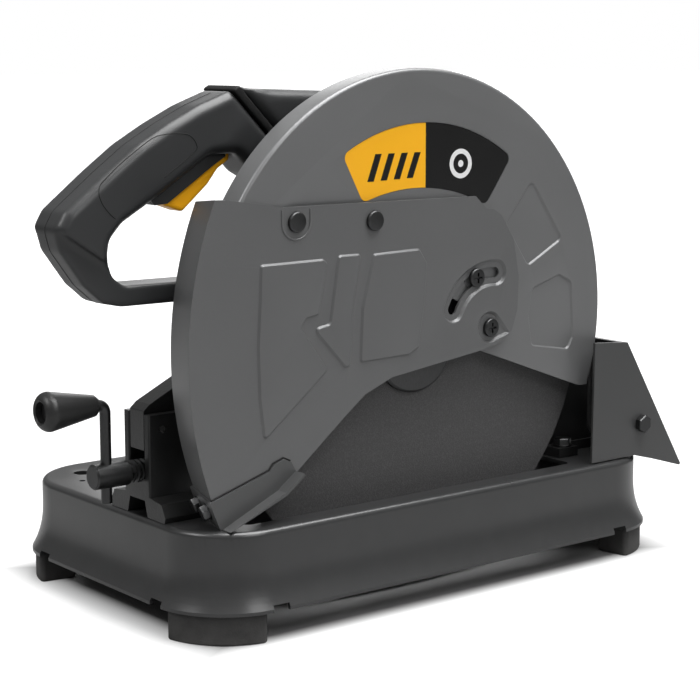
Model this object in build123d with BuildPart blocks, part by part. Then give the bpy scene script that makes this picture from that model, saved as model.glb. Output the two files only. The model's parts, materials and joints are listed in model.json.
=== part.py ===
"""Abrasive chop saw: a stamped base with a screw vise, and a tilting head with a 355 mm cutting wheel.

The frame: X to the operator's right (the wheel side), Y to the rear, Z up, origin on the ground under the
middle of the base.  The head is in its lowered position, with the wheel dipping through the deck slot.
"""

import math
import os

from build123d import *

os.makedirs("parts", exist_ok=True)

# ---------------------------------------------------------------- driving dimensions
# Base pan, a deep-drawn steel pressing
BASE_HALF_WIDTH = 145.0
BASE_HALF_LENGTH = 236.6
BASE_CORNER = 62.8
FLARE = 9.0
SHEET = 3.0
LIP_BOTTOM = 22.0
LIP_HEIGHT = 7.0
DECK = 80.0
CORNER_X = BASE_HALF_WIDTH - BASE_CORNER
CORNER_Y = BASE_HALF_LENGTH - BASE_CORNER
BENCH_X = 115.0
BENCH_Y = 207.0
SLOT_X = (80.0, 116.0)
SLOT_Y = (-182.0, 142.0)

# Wheel and spindle
SPINDLE_Y = -13.0
SPINDLE_Z = 192.5
WHEEL_RADIUS = 177.5
WHEEL_THICK = 3.0
WHEEL_X = 94.5
ARBOR_R = 12.7

# Gear train: module 2 spur gears on a 58 mm centre distance
MODULE = 2.0
GEAR_TEETH = 45
PINION_TEETH = 13
GEAR_CENTRES = MODULE * (GEAR_TEETH + PINION_TEETH) / 2
MOTOR_ANGLE = math.radians(34)
MOTOR_Y = SPINDLE_Y + GEAR_CENTRES * math.cos(MOTOR_ANGLE)
MOTOR_Z = SPINDLE_Z + GEAR_CENTRES * math.sin(MOTOR_ANGLE)
GEAR_X = (42.0, 56.0)

# Upper guard: a drawn shell over the outer side of the wheel
GUARD_Y = -18.4
GUARD_Z = 207.1
GUARD_R = 192.9
GUARD_X = (91.0, 112.6)
GUARD_SHEET = 2.2
RECESS_Y = -8.5
RECESS_Z = 202.2
RECESS_R = 169.6
RECESS_DEPTH = 2.6
RECESS_X = GUARD_X[1] - RECESS_DEPTH
BACK_Y = -14.0
BACK_Z = 204.0
BACK_R = 184.5
BACK_X = 80.5

# Lower guard: a plate and a coned front wall that swing about the guard pivot
PIVOT_Y = 52.7
PIVOT_Z = 200.0
PLATE_X = (113.2, 115.4)
WALL_FAR_R = 272.0
WALL_NEAR_R = 281.0
WALL_FAR_X = 79.0
WALL_SHEET = 2.2
WALL_TOP_ANGLE = 156.5
WALL_BOTTOM_ANGLE = 205.0
SLOT_RADIUS = 43.0
SLOT_ANGLES = (84.0, 156.0)
SLOT_SCREW_ANGLE = 111.0

# Head pivot at the rear of the base
HINGE_Y = 188.0
HINGE_Z = 163.0
HINGE_LUG = 20.0
HINGE_SHAFT_R = 8.0

# Vise
VISE_X = 40.5
SCREW_Z = 112.6
SCREW_R = 8.5
CRANK_Y = -250.6
CRANK_Z = 164.5
CRANK_R = 4.0
LEVER_PIN = (-213.5, 144.3)

# Handle
HANDLE_X = 50.0
GRIP_HALF = 21.0
STRAP_HALF = 15.0

# Spark hood
HOOD_X = (88.0, 131.0)
HOOD_SHEET = 2.4
HOOD_PIVOT = (208.0, 107.3)


# ---------------------------------------------------------------- helpers
def side(x):
    """The plane at x seen from the right: local x is Y, local y is Z, and it extrudes to +X."""
    return Plane.YZ.offset(x)


def front(y):
    """The plane at y seen from the front: local x is X, local y is Z, and it extrudes to -Y."""
    return Plane.XZ.offset(-y)


def deck(z):
    """The level plane at height z, which extrudes up."""
    return Plane.XY.offset(z)


def save(part, name):
    """Labels a finished piece and writes its STEP file."""
    part.label = name
    export_step(part, f"parts/{name}.step")


def about_pivot(radius, angle):
    """A point on a circle round the lower guard's pivot, as (y, z)."""
    a = math.radians(angle)
    return (PIVOT_Y + radius * math.cos(a), PIVOT_Z + radius * math.sin(a))


def shaft(x0, x1, radius, y, z, mode=Mode.ADD):
    """A cylinder along X inside the open BuildPart."""
    with BuildSketch(side(x0)) as disc:
        with Locations((y, z)):
            Circle(radius)
    extrude(disc.sketch, amount=x1 - x0, mode=mode)


def hex_bolt(plane, radius, length, across, head, washer=0.0):
    """A hex bolt: the head stands on the plane, the shank goes back through it."""
    with BuildPart() as bolt:
        with BuildSketch(plane):
            Circle(radius)
        extrude(amount=-length)
        if washer:
            with BuildSketch(plane):
                Circle(across * 0.62)
            extrude(amount=washer)
        with BuildSketch(plane.offset(washer)):
            RegularPolygon(across / 2, 6, major_radius=False)
        extrude(amount=head)
        chamfer(bolt.faces().sort_by(Axis(plane.origin, plane.z_dir))[-1].edges(), head * 0.16)
    return bolt.part


def cross_screw(plane, shank, length, head_r, head):
    """A cross-recess screw with a domed head standing on the plane."""
    axis = Axis(plane.origin, plane.z_dir)
    with BuildPart() as screw:
        with BuildSketch(plane):
            Circle(shank)
        extrude(amount=-length)
        with BuildSketch(plane):
            Circle(head_r)
        extrude(amount=head)
        fillet(screw.faces().sort_by(axis)[-1].edges(), head * 0.45)
        with BuildSketch(plane.offset(head - 1.6)):
            Rectangle(head_r * 1.1, head_r * 0.24)
            Rectangle(head_r * 0.24, head_r * 1.1)
        extrude(amount=3, mode=Mode.SUBTRACT)
    return screw.part


# ---------------------------------------------------------------- base pan
def pan_block(inset, bottom):
    """The pan's outer form, or its hollow when inset: a lip, a flare and an upright wall."""
    half_w = BASE_HALF_WIDTH - inset
    half_l = BASE_HALF_LENGTH - inset
    corner = BASE_CORNER - inset
    lip_top = LIP_BOTTOM + LIP_HEIGHT
    with BuildPart() as block:
        with BuildSketch(deck(bottom)):
            RectangleRounded(2 * half_w, 2 * half_l, corner)
        extrude(amount=lip_top - bottom)
        with BuildSketch(deck(lip_top)):
            RectangleRounded(2 * half_w, 2 * half_l, corner)
        extrude(amount=FLARE * 1.5, taper=math.degrees(math.atan(1 / 1.5)))
        with BuildSketch(deck(lip_top)):
            RectangleRounded(2 * (half_w - FLARE), 2 * (half_l - FLARE), corner - FLARE)
        extrude(amount=DECK - inset - lip_top)
    return block


def corners():
    """The four corner arc centres with the angle of each corner's diagonal."""
    return [(sx * CORNER_X, sy * CORNER_Y, math.degrees(math.atan2(sy, sx))) for sx in (1, -1) for sy in (1, -1)]


outer_pan = pan_block(0.0, LIP_BOTTOM)
inner_pan = pan_block(SHEET, LIP_BOTTOM - 1)
NOTCH = (14.0, 5.0)
DECK_BOLT_R = 4.2
VISE_BOLTS = [(VISE_X + sx * 30, y) for sx in (1, -1) for y in (-214.0, -172.0)]
FENCE_PIVOT = (62.0, 36.0)
FENCE_STUD = (-58.0, 36.0)
FENCE_REACH = FENCE_PIVOT[0] - FENCE_STUD[0]
FENCE_SWING = 30.0
BRACKET_BOLTS = [(89.5, 158.0), (10.0, 158.0), (10.0, 206.0), (60.0, 217.0)]
HOOD_EAR_Y = HOOD_PIVOT[0]

def corner_sector(cx, cy, diagonal, r0, r1, spread):
    """A sketch of a ring sector that follows a base corner, inside the open sketch."""
    start = diagonal - spread
    with BuildLine(mode=Mode.PRIVATE) as outline:
        outer = CenterArc((cx, cy), r1, start, 2 * spread)
        inner = CenterArc((cx, cy), r0, start, 2 * spread)
        Line(outer @ 0, inner @ 0)
        Line(outer @ 1, inner @ 1)
    add(make_face(outline.edges(), mode=Mode.PRIVATE))


FOOT_SPREAD = 38.0
FOOT_R = (31.0, 60.5)
FOOT_SCREW_TURN = 24.0
bench_holes = [(sx * BENCH_X, sy * BENCH_Y) for sx in (1, -1) for sy in (1, -1)]
foot_screw_spots = []
for cx, cy, diagonal in corners():
    for turn in (-FOOT_SCREW_TURN, FOOT_SCREW_TURN):
        a = math.radians(diagonal + turn)
        foot_screw_spots.append((cx + 46 * math.cos(a), cy + 46 * math.sin(a)))

with BuildPart() as base_pan:
    add(outer_pan.part)
    fillet(base_pan.faces().sort_by(Axis.Z)[-1].edges(), 4.5)
    add(inner_pan.part, mode=Mode.SUBTRACT)
    with BuildSketch(deck(DECK + 1)):
        with Locations(((SLOT_X[0] + SLOT_X[1]) / 2, (SLOT_Y[0] + SLOT_Y[1]) / 2)):
            RectangleRounded(SLOT_X[1] - SLOT_X[0], SLOT_Y[1] - SLOT_Y[0], 6)
    extrude(amount=-10, mode=Mode.SUBTRACT)
    with BuildSketch(deck(DECK + 1)):
        with Locations((-101, -188.6)):
            Circle(7)
        with Locations((-77, -202.7)):
            Circle(2.5)
        with Locations(*VISE_BOLTS, *BRACKET_BOLTS, FENCE_PIVOT):
            Circle(DECK_BOLT_R)
        # the fence's clamp bolt travels in an arc about the fence pivot
        SlotArc(CenterArc(FENCE_PIVOT, FENCE_REACH, 180 - FENCE_SWING, FENCE_SWING, mode=Mode.PRIVATE), 8.8)
    extrude(amount=-10, mode=Mode.SUBTRACT)
    for cx, cy, diagonal in corners():
        for turn in (-47, 47):
            angle = math.radians(diagonal + turn)
            spot = (cx + BASE_CORNER * math.cos(angle), cy + BASE_CORNER * math.sin(angle))
            with BuildSketch(deck(LIP_BOTTOM - 1)):
                with Locations(spot):
                    Rectangle(NOTCH[0], NOTCH[0])
            extrude(amount=NOTCH[1] + 1, mode=Mode.SUBTRACT)
    # two ears that carry the spark hood, welded to the deck's edge
    for x0 in (HOOD_X[0] + HOOD_SHEET + 0.4, HOOD_X[1] - HOOD_SHEET - 3.4):
        ear_y = HOOD_EAR_Y if x0 < 100 else HOOD_EAR_Y - 12
        with BuildSketch(side(x0)):
            with BuildLine():
                Polyline((ear_y - 14, DECK - 2), (HOOD_PIVOT[0] - 8, HOOD_PIVOT[1] + 5),
                         (HOOD_PIVOT[0] + 8, HOOD_PIVOT[1] + 5), (HOOD_PIVOT[0] + 8, HOOD_PIVOT[1] - 9),
                         (ear_y + 2, DECK - 2), close=True)
            make_face()
        extrude(amount=3)
        shaft(x0 - 1, x0 + 4, 4.05, *HOOD_PIVOT, mode=Mode.SUBTRACT)
    # corner plates inside the lip, which the feet are screwed to
    with BuildSketch(deck(LIP_BOTTOM)) as plates:
        for cx, cy, diagonal in corners():
            corner_sector(cx, cy, diagonal, FOOT_R[0], BASE_CORNER - SHEET + 0.5, FOOT_SPREAD)
        with Locations(*bench_holes):
            Circle(4.5, mode=Mode.SUBTRACT)
        with Locations(*foot_screw_spots):
            Circle(2.5, mode=Mode.SUBTRACT)
    extrude(plates.sketch, amount=3)
save(base_pan.part, "base_pan")


# ---------------------------------------------------------------- feet
with BuildPart() as rubber_feet:
    with BuildSketch(deck(0)):
        for cx, cy, diagonal in corners():
            corner_sector(cx, cy, diagonal, *FOOT_R, FOOT_SPREAD)
    extrude(amount=LIP_BOTTOM)
    fillet(rubber_feet.edges().filter_by(Axis.Z), 4)
    chamfer(rubber_feet.faces().sort_by(Axis.Z)[0:4].edges(), 1.2)
    with BuildSketch(deck(0)):
        with Locations(*bench_holes):
            Circle(4.5)
    extrude(amount=LIP_BOTTOM, mode=Mode.SUBTRACT)
    with BuildSketch(deck(0)):
        with Locations(*foot_screw_spots):
            Circle(6)
    extrude(amount=9, mode=Mode.SUBTRACT)
    with BuildSketch(deck(0)):
        with Locations(*foot_screw_spots):
            Circle(2.6)
    extrude(amount=LIP_BOTTOM, mode=Mode.SUBTRACT)
save(rubber_feet.part, "rubber_feet")

with BuildPart() as foot_screws:
    with BuildSketch(deck(5)):
        with Locations(*foot_screw_spots):
            Circle(5.2)
    extrude(amount=4)
    with BuildSketch(deck(9)):
        with Locations(*foot_screw_spots):
            Circle(2.5)
    extrude(amount=19)
save(foot_screws.part, "foot_screws")

# ---------------------------------------------------------------- vise bracket
BRACKET_Y = (-225.0, -160.0)
WALL_IN = 10.0
WALL_OUT = 17.0
WALL_TOP = 155.3
with BuildPart() as vise_bracket:
    with BuildSketch(front(BRACKET_Y[0])):
        with BuildLine():
            Polyline((VISE_X - 36, DECK), (VISE_X - 37, DECK + 4), (VISE_X - 32, DECK + 13),
                     (VISE_X - WALL_OUT, DECK + 15), (VISE_X - WALL_OUT, WALL_TOP), (VISE_X - WALL_IN, WALL_TOP),
                     (VISE_X - WALL_IN, 108), (VISE_X + WALL_IN, 108), (VISE_X + WALL_IN, WALL_TOP),
                     (VISE_X + WALL_OUT, WALL_TOP), (VISE_X + WALL_OUT, DECK + 15), (VISE_X + 32, DECK + 13),
                     (VISE_X + 37, DECK + 4), (VISE_X + 36, DECK), (VISE_X + 13.5, DECK),
                     (VISE_X + 10, DECK + 12), (VISE_X - 10, DECK + 12), (VISE_X - 13.5, DECK), close=True)
        make_face()
    extrude(amount=BRACKET_Y[0] - BRACKET_Y[1])
    # the walls fall away behind the lever pin
    with BuildSketch(side(VISE_X - 30)):
        with BuildLine():
            Polyline((-196, 160), (-150, 160), (-150, 100), (-172, 100), close=True)
        make_face()
    extrude(amount=60, mode=Mode.SUBTRACT)
    fillet(vise_bracket.edges().filter_by(Axis.Z).sort_by(Axis.Z)[-4:], 1.5)
    with BuildSketch(front(BRACKET_Y[0] - 1)):
        with Locations((VISE_X, SCREW_Z)):
            Circle(SCREW_R + 0.06)
    extrude(amount=-80, mode=Mode.SUBTRACT)
    shaft(VISE_X - 30, VISE_X + 30, 2.5, *LEVER_PIN, mode=Mode.SUBTRACT)
    with BuildSketch(deck(DECK)):
        with Locations(*VISE_BOLTS):
            Circle(4.0)
    extrude(amount=9, mode=Mode.SUBTRACT)
save(vise_bracket.part, "vise_bracket")

with BuildPart() as lever_pin:
    shaft(VISE_X - WALL_OUT, VISE_X + WALL_OUT, 2.5, *LEVER_PIN)
save(lever_pin.part, "lever_pin")

# ---------------------------------------------------------------- vise lever and half nut
LEVER_HALF = 9.2
with BuildPart() as release_lever:
    with BuildSketch(side(VISE_X - LEVER_HALF)):
        with BuildLine():
            Polyline((-224.3, 128), (-224.3, 157.5), (-219, 162), (-150, 195.5), (-140, 196.5), (-136, 191),
                     (-140, 186.5), (-148, 185), (-196, 161), (-199, 131.5), (-213.5, 131.5), (-216, 128), close=True)
        make_face()
    extrude(amount=2 * LEVER_HALF)
    fillet(release_lever.edges().filter_by(Axis.X), 1.4)
    shaft(VISE_X - 12, VISE_X + 12, 2.55, *LEVER_PIN, mode=Mode.SUBTRACT)
save(release_lever.part, "release_lever")

with BuildPart() as half_nut:
    with BuildSketch(side(VISE_X - LEVER_HALF)):
        with BuildLine():
            Polyline((-211.5, 117), (-211.5, 131.5), (-200.5, 131.5), (-200.5, 117), close=True)
        make_face()
    extrude(amount=2 * LEVER_HALF)
    with BuildSketch(front(-220)):
        with Locations((VISE_X, SCREW_Z)):
            Circle(SCREW_R + 0.06)
    extrude(amount=-30, mode=Mode.SUBTRACT)
save(half_nut.part, "half_nut")

# ---------------------------------------------------------------- vise screw, crank and jaw
HUB_Y = (-262.3, -233.5)
SCREW_END = -22.0
with BuildPart() as vise_screw:
    with BuildSketch(front(HUB_Y[1])):
        with Locations((VISE_X, SCREW_Z)):
            Circle(9.2)
    extrude(amount=HUB_Y[1] - HUB_Y[0])
    chamfer(vise_screw.edges().sort_by(Axis.Y)[0], 1.2)
    with BuildSketch(front(SCREW_END)):
        with Locations((VISE_X, SCREW_Z)):
            Circle(SCREW_R)
    extrude(amount=SCREW_END - HUB_Y[1])
    with BuildSketch(front(SCREW_END + 12)):
        with Locations((VISE_X, SCREW_Z)):
            Circle(5)
    extrude(amount=12)
    with BuildSketch(front(SCREW_END + 17)):
        with Locations((VISE_X, SCREW_Z)):
            Circle(7)
    extrude(amount=5)
    with BuildSketch(deck(SCREW_Z - 20)):
        with Locations((VISE_X, CRANK_Y)):
            Circle(CRANK_R)
    extrude(amount=40, mode=Mode.SUBTRACT)
save(vise_screw.part, "vise_screw")

KNOB_Y = (-303.0, -257.0)
BEND = 6.2
with BuildPart() as crank_rod:
    with BuildLine() as rod_path:
        up = Line((VISE_X, CRANK_Y, 92.6), (VISE_X, CRANK_Y, CRANK_Z - BEND))
        middle = BEND * (1 - math.sqrt(0.5))
        turn = ThreePointArc(up @ 1, (VISE_X, CRANK_Y - middle, CRANK_Z - middle), (VISE_X, CRANK_Y - BEND, CRANK_Z))
        Line(turn @ 1, (VISE_X, KNOB_Y[0] + 9, CRANK_Z))
    with BuildSketch(deck(92.6)):
        with Locations((VISE_X, CRANK_Y)):
            Circle(CRANK_R)
    sweep()
    with BuildSketch(front(KNOB_Y[0] + 7.7)):
        with Locations((VISE_X, CRANK_Z)):
            Circle(6)
    extrude(amount=2.4)
    with BuildSketch(front(KNOB_Y[0] + 9.5)):
        with Locations((VISE_X, CRANK_Z)):
            Circle(CRANK_R)
    extrude(amount=3)
save(crank_rod.part, "crank_rod")

with BuildPart() as crank_knob:
    with BuildSketch(Plane.YZ.offset(VISE_X)):
        with BuildLine():
            Polyline((KNOB_Y[1], CRANK_Z + 4.1), (KNOB_Y[1], CRANK_Z + 5.2), (KNOB_Y[1] - 3, CRANK_Z + 7.8),
                     (KNOB_Y[0] + 9, CRANK_Z + 14))
            ThreePointArc((KNOB_Y[0] + 9, CRANK_Z + 14), (KNOB_Y[0] + 2.2, CRANK_Z + 12.4), (KNOB_Y[0], CRANK_Z + 9))
            Polyline((KNOB_Y[0], CRANK_Z + 9), (KNOB_Y[0] + 1, CRANK_Z + 7.6), (KNOB_Y[0] + 8, CRANK_Z + 7.2),
                     (KNOB_Y[0] + 8, CRANK_Z + 4.1), (KNOB_Y[1], CRANK_Z + 4.1))
        make_face()
    revolve(axis=Axis((VISE_X, 0, CRANK_Z), (0, 1, 0)))
save(crank_knob.part, "crank_knob")

JAW_FACE = 4.0
with BuildPart() as vise_jaw:
    with BuildSketch(deck(DECK + 0.6)):
        with BuildLine():
            Polyline((-2, JAW_FACE), (76, JAW_FACE), (76, JAW_FACE - 8), (60, JAW_FACE - 8), (54, SCREW_END + 3),
                     (27, SCREW_END + 3), (20, JAW_FACE - 8), (-2, JAW_FACE - 8), close=True)
        make_face()
    extrude(amount=46)
    with BuildSketch(front(SCREW_END + 2)):
        with Locations((VISE_X, SCREW_Z)):
            Circle(5.06)
    extrude(amount=-40, mode=Mode.SUBTRACT)
    with BuildSketch(front(SCREW_END + 11.9)):
        with Locations((VISE_X, SCREW_Z)):
            Circle(7.3)
    extrude(amount=-8, mode=Mode.SUBTRACT)
    with BuildSketch(front(SCREW_END + 19)):
        with Locations((VISE_X, SCREW_Z)):
            Circle(7.3)
    extrude(amount=-12, mode=Mode.SUBTRACT)
save(vise_jaw.part, "vise_jaw")

# ---------------------------------------------------------------- fence
FENCE_TOP = 118.0
with BuildPart() as fence:
    with BuildSketch(deck(DECK + 0.3)):
        with BuildLine():
            Polyline((-95, 20), (74, 20), (74, 26), (74, 40), (68, 48), (-88, 48), (-95, 42), close=True)
        make_face()
    extrude(amount=6)
    with BuildSketch(deck(DECK + 0.3)):
        with Locations((-10.5, 23)):
            Rectangle(169, 6)
    extrude(amount=FENCE_TOP - DECK)
    with BuildSketch(deck(DECK)):
        with Locations(FENCE_PIVOT):
            Circle(4.06)
    extrude(amount=8, mode=Mode.SUBTRACT)
    with BuildSketch(deck(DECK)):
        with Locations(FENCE_STUD):
            Circle(4.06)
    extrude(amount=8, mode=Mode.SUBTRACT)
save(fence.part, "fence")

with BuildPart() as fence_clamp_bolt:
    add(hex_bolt(Plane(origin=(*FENCE_STUD, DECK + 6.3), z_dir=(0, 0, 1)), 4.0, 16, 13, 5.3, 1.6))
    with BuildSketch(deck(DECK - SHEET - 0.4)):
        with Locations(FENCE_STUD):
            RegularPolygon(6.5, 6, major_radius=False)
    extrude(amount=-6)
save(fence_clamp_bolt.part, "fence_clamp_bolt")

# ---------------------------------------------------------------- head pivot on the base
UPRIGHT_X = ((20.0, 30.0), (70.0, 80.0))
ARM_X = (32.0, 68.0)
LOCK_SPOT = (157.0, 151.0)
with BuildPart() as pivot_bracket:
    with BuildSketch(deck(DECK)):
        with BuildLine():
            Polyline((2, 147), (98, 147), (98, 168), (82, 170), (82, 224), (2, 224), close=True)
        make_face()
    extrude(amount=8)
    for x0, x1 in UPRIGHT_X:
        with BuildSketch(side(x0)):
            with BuildLine():
                Polyline((148, DECK + 4), (218, DECK + 4), (HINGE_Y + 17.5, HINGE_Z - 9), (HINGE_Y, HINGE_Z),
                         (147, 161), close=True)
            make_face()
            with Locations((HINGE_Y, HINGE_Z)):
                Circle(HINGE_LUG)
        extrude(amount=x1 - x0)
        shaft(x0 - 1, x1 + 1, HINGE_SHAFT_R + 0.02, HINGE_Y, HINGE_Z, mode=Mode.SUBTRACT)
    shaft(UPRIGHT_X[0][0] - 1, UPRIGHT_X[0][1] + 1, 4.06, *LOCK_SPOT, mode=Mode.SUBTRACT)
    with BuildSketch(deck(DECK)):
        with Locations(*BRACKET_BOLTS):
            Circle(4.2)
    extrude(amount=9, mode=Mode.SUBTRACT)
save(pivot_bracket.part, "pivot_bracket")

with BuildPart() as pivot_shaft:
    shaft(1, 85.5, HINGE_SHAFT_R, HINGE_Y, HINGE_Z)
    for x0 in (2.0, 82.0):
        shaft(x0, x0 + 1.4, 7.0, HINGE_Y, HINGE_Z)
    chamfer(pivot_shaft.faces().sort_by(Axis.X)[-1].edges(), 1)
save(pivot_shaft.part, "pivot_shaft")

# a torsion spring round the shaft's left end, which lifts the head when the lock is released
SPRING_R = 13.0
WIRE_R = 1.75
SPRING_TURNS = 3
with BuildPart() as return_spring:
    with BuildLine():
        coil = Helix(pitch=4.2, height=4.2 * SPRING_TURNS, radius=SPRING_R, center=(3.2, HINGE_Y, HINGE_Z),
                     direction=(1, 0, 0))
    with BuildSketch(Plane(origin=coil @ 0, z_dir=coil % 0)):
        Circle(WIRE_R)
    sweep(is_frenet=True)
save(return_spring.part, "return_spring")

with BuildPart() as lock_pin:
    shaft(10, 31.5, 4.0, *LOCK_SPOT)
    shaft(-2, 12, 9.0, *LOCK_SPOT)
    fillet(lock_pin.faces().sort_by(Axis.X)[0].edges(), 2)
save(lock_pin.part, "lock_pin")

# ---------------------------------------------------------------- gear case, arm and bearings
CASE_X = (20.0, 60.0)
COVER_X = (60.0, 80.5)
CASE_R = 57.0
CASE_MOTOR_R = 54.0
LOCK_BUTTON = (SPINDLE_Y - 26 * math.sqrt(0.5), SPINDLE_Z + 26 * math.sqrt(0.5))


def case_sketch(plane, shrink):
    """A plate outline that wraps the spindle and the motor axis, as a placed sketch."""
    with BuildSketch(plane) as outline:
        with Locations((SPINDLE_Y, SPINDLE_Z)):
            Circle(CASE_R - shrink)
        with Locations((MOTOR_Y, MOTOR_Z)):
            Circle(CASE_MOTOR_R - shrink)
        make_hull()
    return outline.sketch


with BuildPart() as gear_case:
    extrude(case_sketch(side(CASE_X[0]), 0), amount=CASE_X[1] - CASE_X[0])
    fillet(gear_case.faces().sort_by(Axis.X)[0].edges(), 3)
    extrude(case_sketch(side(CASE_X[0] + 18), 5), amount=30, mode=Mode.SUBTRACT)
    shaft(28, 40, 16.02, SPINDLE_Y, SPINDLE_Z, mode=Mode.SUBTRACT)
    shaft(10, 27, 48.4, MOTOR_Y, MOTOR_Z, mode=Mode.SUBTRACT)
    shaft(20, 41, 15.02, MOTOR_Y, MOTOR_Z, mode=Mode.SUBTRACT)
    shaft(CASE_X[0] - 1, CASE_X[0] + 20, 4.06, *LOCK_BUTTON, mode=Mode.SUBTRACT)
save(gear_case.part, "gear_case")

with BuildPart() as gear_cover:
    extrude(case_sketch(side(COVER_X[0]), 0), amount=7)
    shaft(COVER_X[0], COVER_X[1], 48, SPINDLE_Y, SPINDLE_Z)
    fillet(gear_cover.faces().sort_by(Axis.X)[-1].edges(), 2)
    shaft(COVER_X[0] - 1, 63, 46, SPINDLE_Y, SPINDLE_Z, mode=Mode.SUBTRACT)
    shaft(COVER_X[0] - 1, 76, 20.02, SPINDLE_Y, SPINDLE_Z, mode=Mode.SUBTRACT)
    shaft(70, 82, 15, SPINDLE_Y, SPINDLE_Z, mode=Mode.SUBTRACT)
    for k in range(4):
        a = math.radians(45 + 90 * k)
        spot = (SPINDLE_Y + 40 * math.cos(a), SPINDLE_Z + 40 * math.sin(a))
        shaft(70, 82, 2.55, *spot, mode=Mode.SUBTRACT)
save(gear_cover.part, "gear_cover")

with BuildPart() as case_screws:
    for degrees in (110, 165, 215, 262, 310):
        a = math.radians(degrees)
        spot = (SPINDLE_Y + (CASE_R - 2.5) * math.cos(a), SPINDLE_Z + (CASE_R - 2.5) * math.sin(a))
        shaft(67, 70.5, 4.2, *spot)
    for k in range(4):
        a = math.radians(45 + 90 * k)
        spot = (SPINDLE_Y + 40 * math.cos(a), SPINDLE_Z + 40 * math.sin(a))
        shaft(71, BACK_X + 2.5, 2.5, *spot)
        shaft(BACK_X + 2.5, BACK_X + 4.3, 4.2, *spot)
save(case_screws.part, "case_screws")

with BuildPart() as swing_arm:
    with BuildSketch(side(ARM_X[0])):
        with BuildLine():
            Polyline((45, 150), (90, 146), (150, 143), (HINGE_Y - 4, HINGE_Z - 17), (HINGE_Y, HINGE_Z),
                     (HINGE_Y - 6, HINGE_Z + 17), (130, 190), (92, 214), (80, 222), (60, 200), close=True)
        make_face()
        with Locations((HINGE_Y, HINGE_Z)):
            Circle(18)
    extrude(amount=ARM_X[1] - ARM_X[0])
    extrude(case_sketch(side(ARM_X[0] - 1), 0), amount=60, mode=Mode.SUBTRACT)
    with BuildSketch(side(ARM_X[0])):
        with BuildLine():
            Polyline((98, 158), (140, 156), (134, 176), (104, 190), close=True)
        make_face()
    extrude(amount=13, mode=Mode.SUBTRACT)
    with BuildSketch(side(ARM_X[1])):
        with BuildLine():
            Polyline((98, 158), (140, 156), (134, 176), (104, 190), close=True)
        make_face()
    extrude(amount=-13, mode=Mode.SUBTRACT)
    shaft(ARM_X[0] - 1, ARM_X[1] + 1, HINGE_SHAFT_R + 0.06, HINGE_Y, HINGE_Z, mode=Mode.SUBTRACT)
    shaft(ARM_X[0] - 1, ARM_X[0] + 12, 4.4, *LOCK_SPOT, mode=Mode.SUBTRACT)
save(swing_arm.part, "swing_arm")


def bearing(x0, width, inner, outer, y, z):
    """Adds a shielded ball bearing to the open part, as its two rings and the shields between them."""
    with BuildSketch(side(x0)) as rings:
        with Locations((y, z)):
            Circle(outer)
            Circle(inner, mode=Mode.SUBTRACT)
    extrude(rings.sketch, amount=width)
    for x in (x0, x0 + width - 0.6):
        with BuildSketch(side(x)) as groove:
            with Locations((y, z)):
                Circle(outer - 2)
                Circle(inner + 2, mode=Mode.SUBTRACT)
        extrude(groove.sketch, amount=0.6, mode=Mode.SUBTRACT)


with BuildPart() as ball_bearings:
    bearing(64, 12, 8.52, 20.0, SPINDLE_Y, SPINDLE_Z)
    bearing(28, 10, 6.02, 16.0, SPINDLE_Y, SPINDLE_Z)
    bearing(28, 9, 5.02, 15.0, MOTOR_Y, MOTOR_Z)
    bearing(-92, 7, 4.02, 11.0, MOTOR_Y, MOTOR_Z)
save(ball_bearings.part, "ball_bearings")


# ---------------------------------------------------------------- gears
def gear_sketch(teeth, bore, y, z, phase, plane):
    """A spur gear outline with relieved straight flanks, turned by a phase in degrees."""
    pitch_r = MODULE * teeth / 2
    root = pitch_r - 1.25 * MODULE
    tip = pitch_r + 0.8 * MODULE
    half = math.pi * MODULE / 4 - 0.28
    with BuildSketch(plane) as gear:
        with Locations((y, z)):
            Circle(root)
            with PolarLocations(0, teeth, phase):
                Polygon((root - 0.6, -half - 0.7), (root, -half - 0.7), (tip, -half + 0.85),
                        (tip, half - 0.85), (root, half + 0.7), (root - 0.6, half + 0.7), align=None)
            Circle(bore, mode=Mode.SUBTRACT)
    return gear.sketch


MESH_ANGLE = math.degrees(MOTOR_ANGLE)
with BuildPart() as spindle_gear:
    extrude(gear_sketch(GEAR_TEETH, 8.5, SPINDLE_Y, SPINDLE_Z, MESH_ANGLE, side(GEAR_X[0])),
            amount=GEAR_X[1] - GEAR_X[0])
    for k in range(4):
        a = math.radians(45 + 90 * k)
        shaft(GEAR_X[0], GEAR_X[1], 4.5, SPINDLE_Y + 26 * math.cos(a), SPINDLE_Z + 26 * math.sin(a),
              mode=Mode.SUBTRACT)
save(spindle_gear.part, "spindle_gear")

with BuildPart() as motor_pinion:
    extrude(gear_sketch(PINION_TEETH, 5.0, MOTOR_Y, MOTOR_Z, MESH_ANGLE + 180 + 180 / PINION_TEETH,
                        side(GEAR_X[0] - 1)), amount=GEAR_X[1] - GEAR_X[0] + 2)
save(motor_pinion.part, "motor_pinion")

# ---------------------------------------------------------------- spindle, flanges and wheel
WHEEL_FAR = WHEEL_X + WHEEL_THICK
with BuildPart() as spindle:
    shaft(28.3, 38, 6.0, SPINDLE_Y, SPINDLE_Z)
    shaft(38, WHEEL_X, 8.5, SPINDLE_Y, SPINDLE_Z)
    shaft(WHEEL_X - 20, WHEEL_X, 5.0, SPINDLE_Y, SPINDLE_Z, mode=Mode.SUBTRACT)
save(spindle.part, "spindle")

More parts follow.
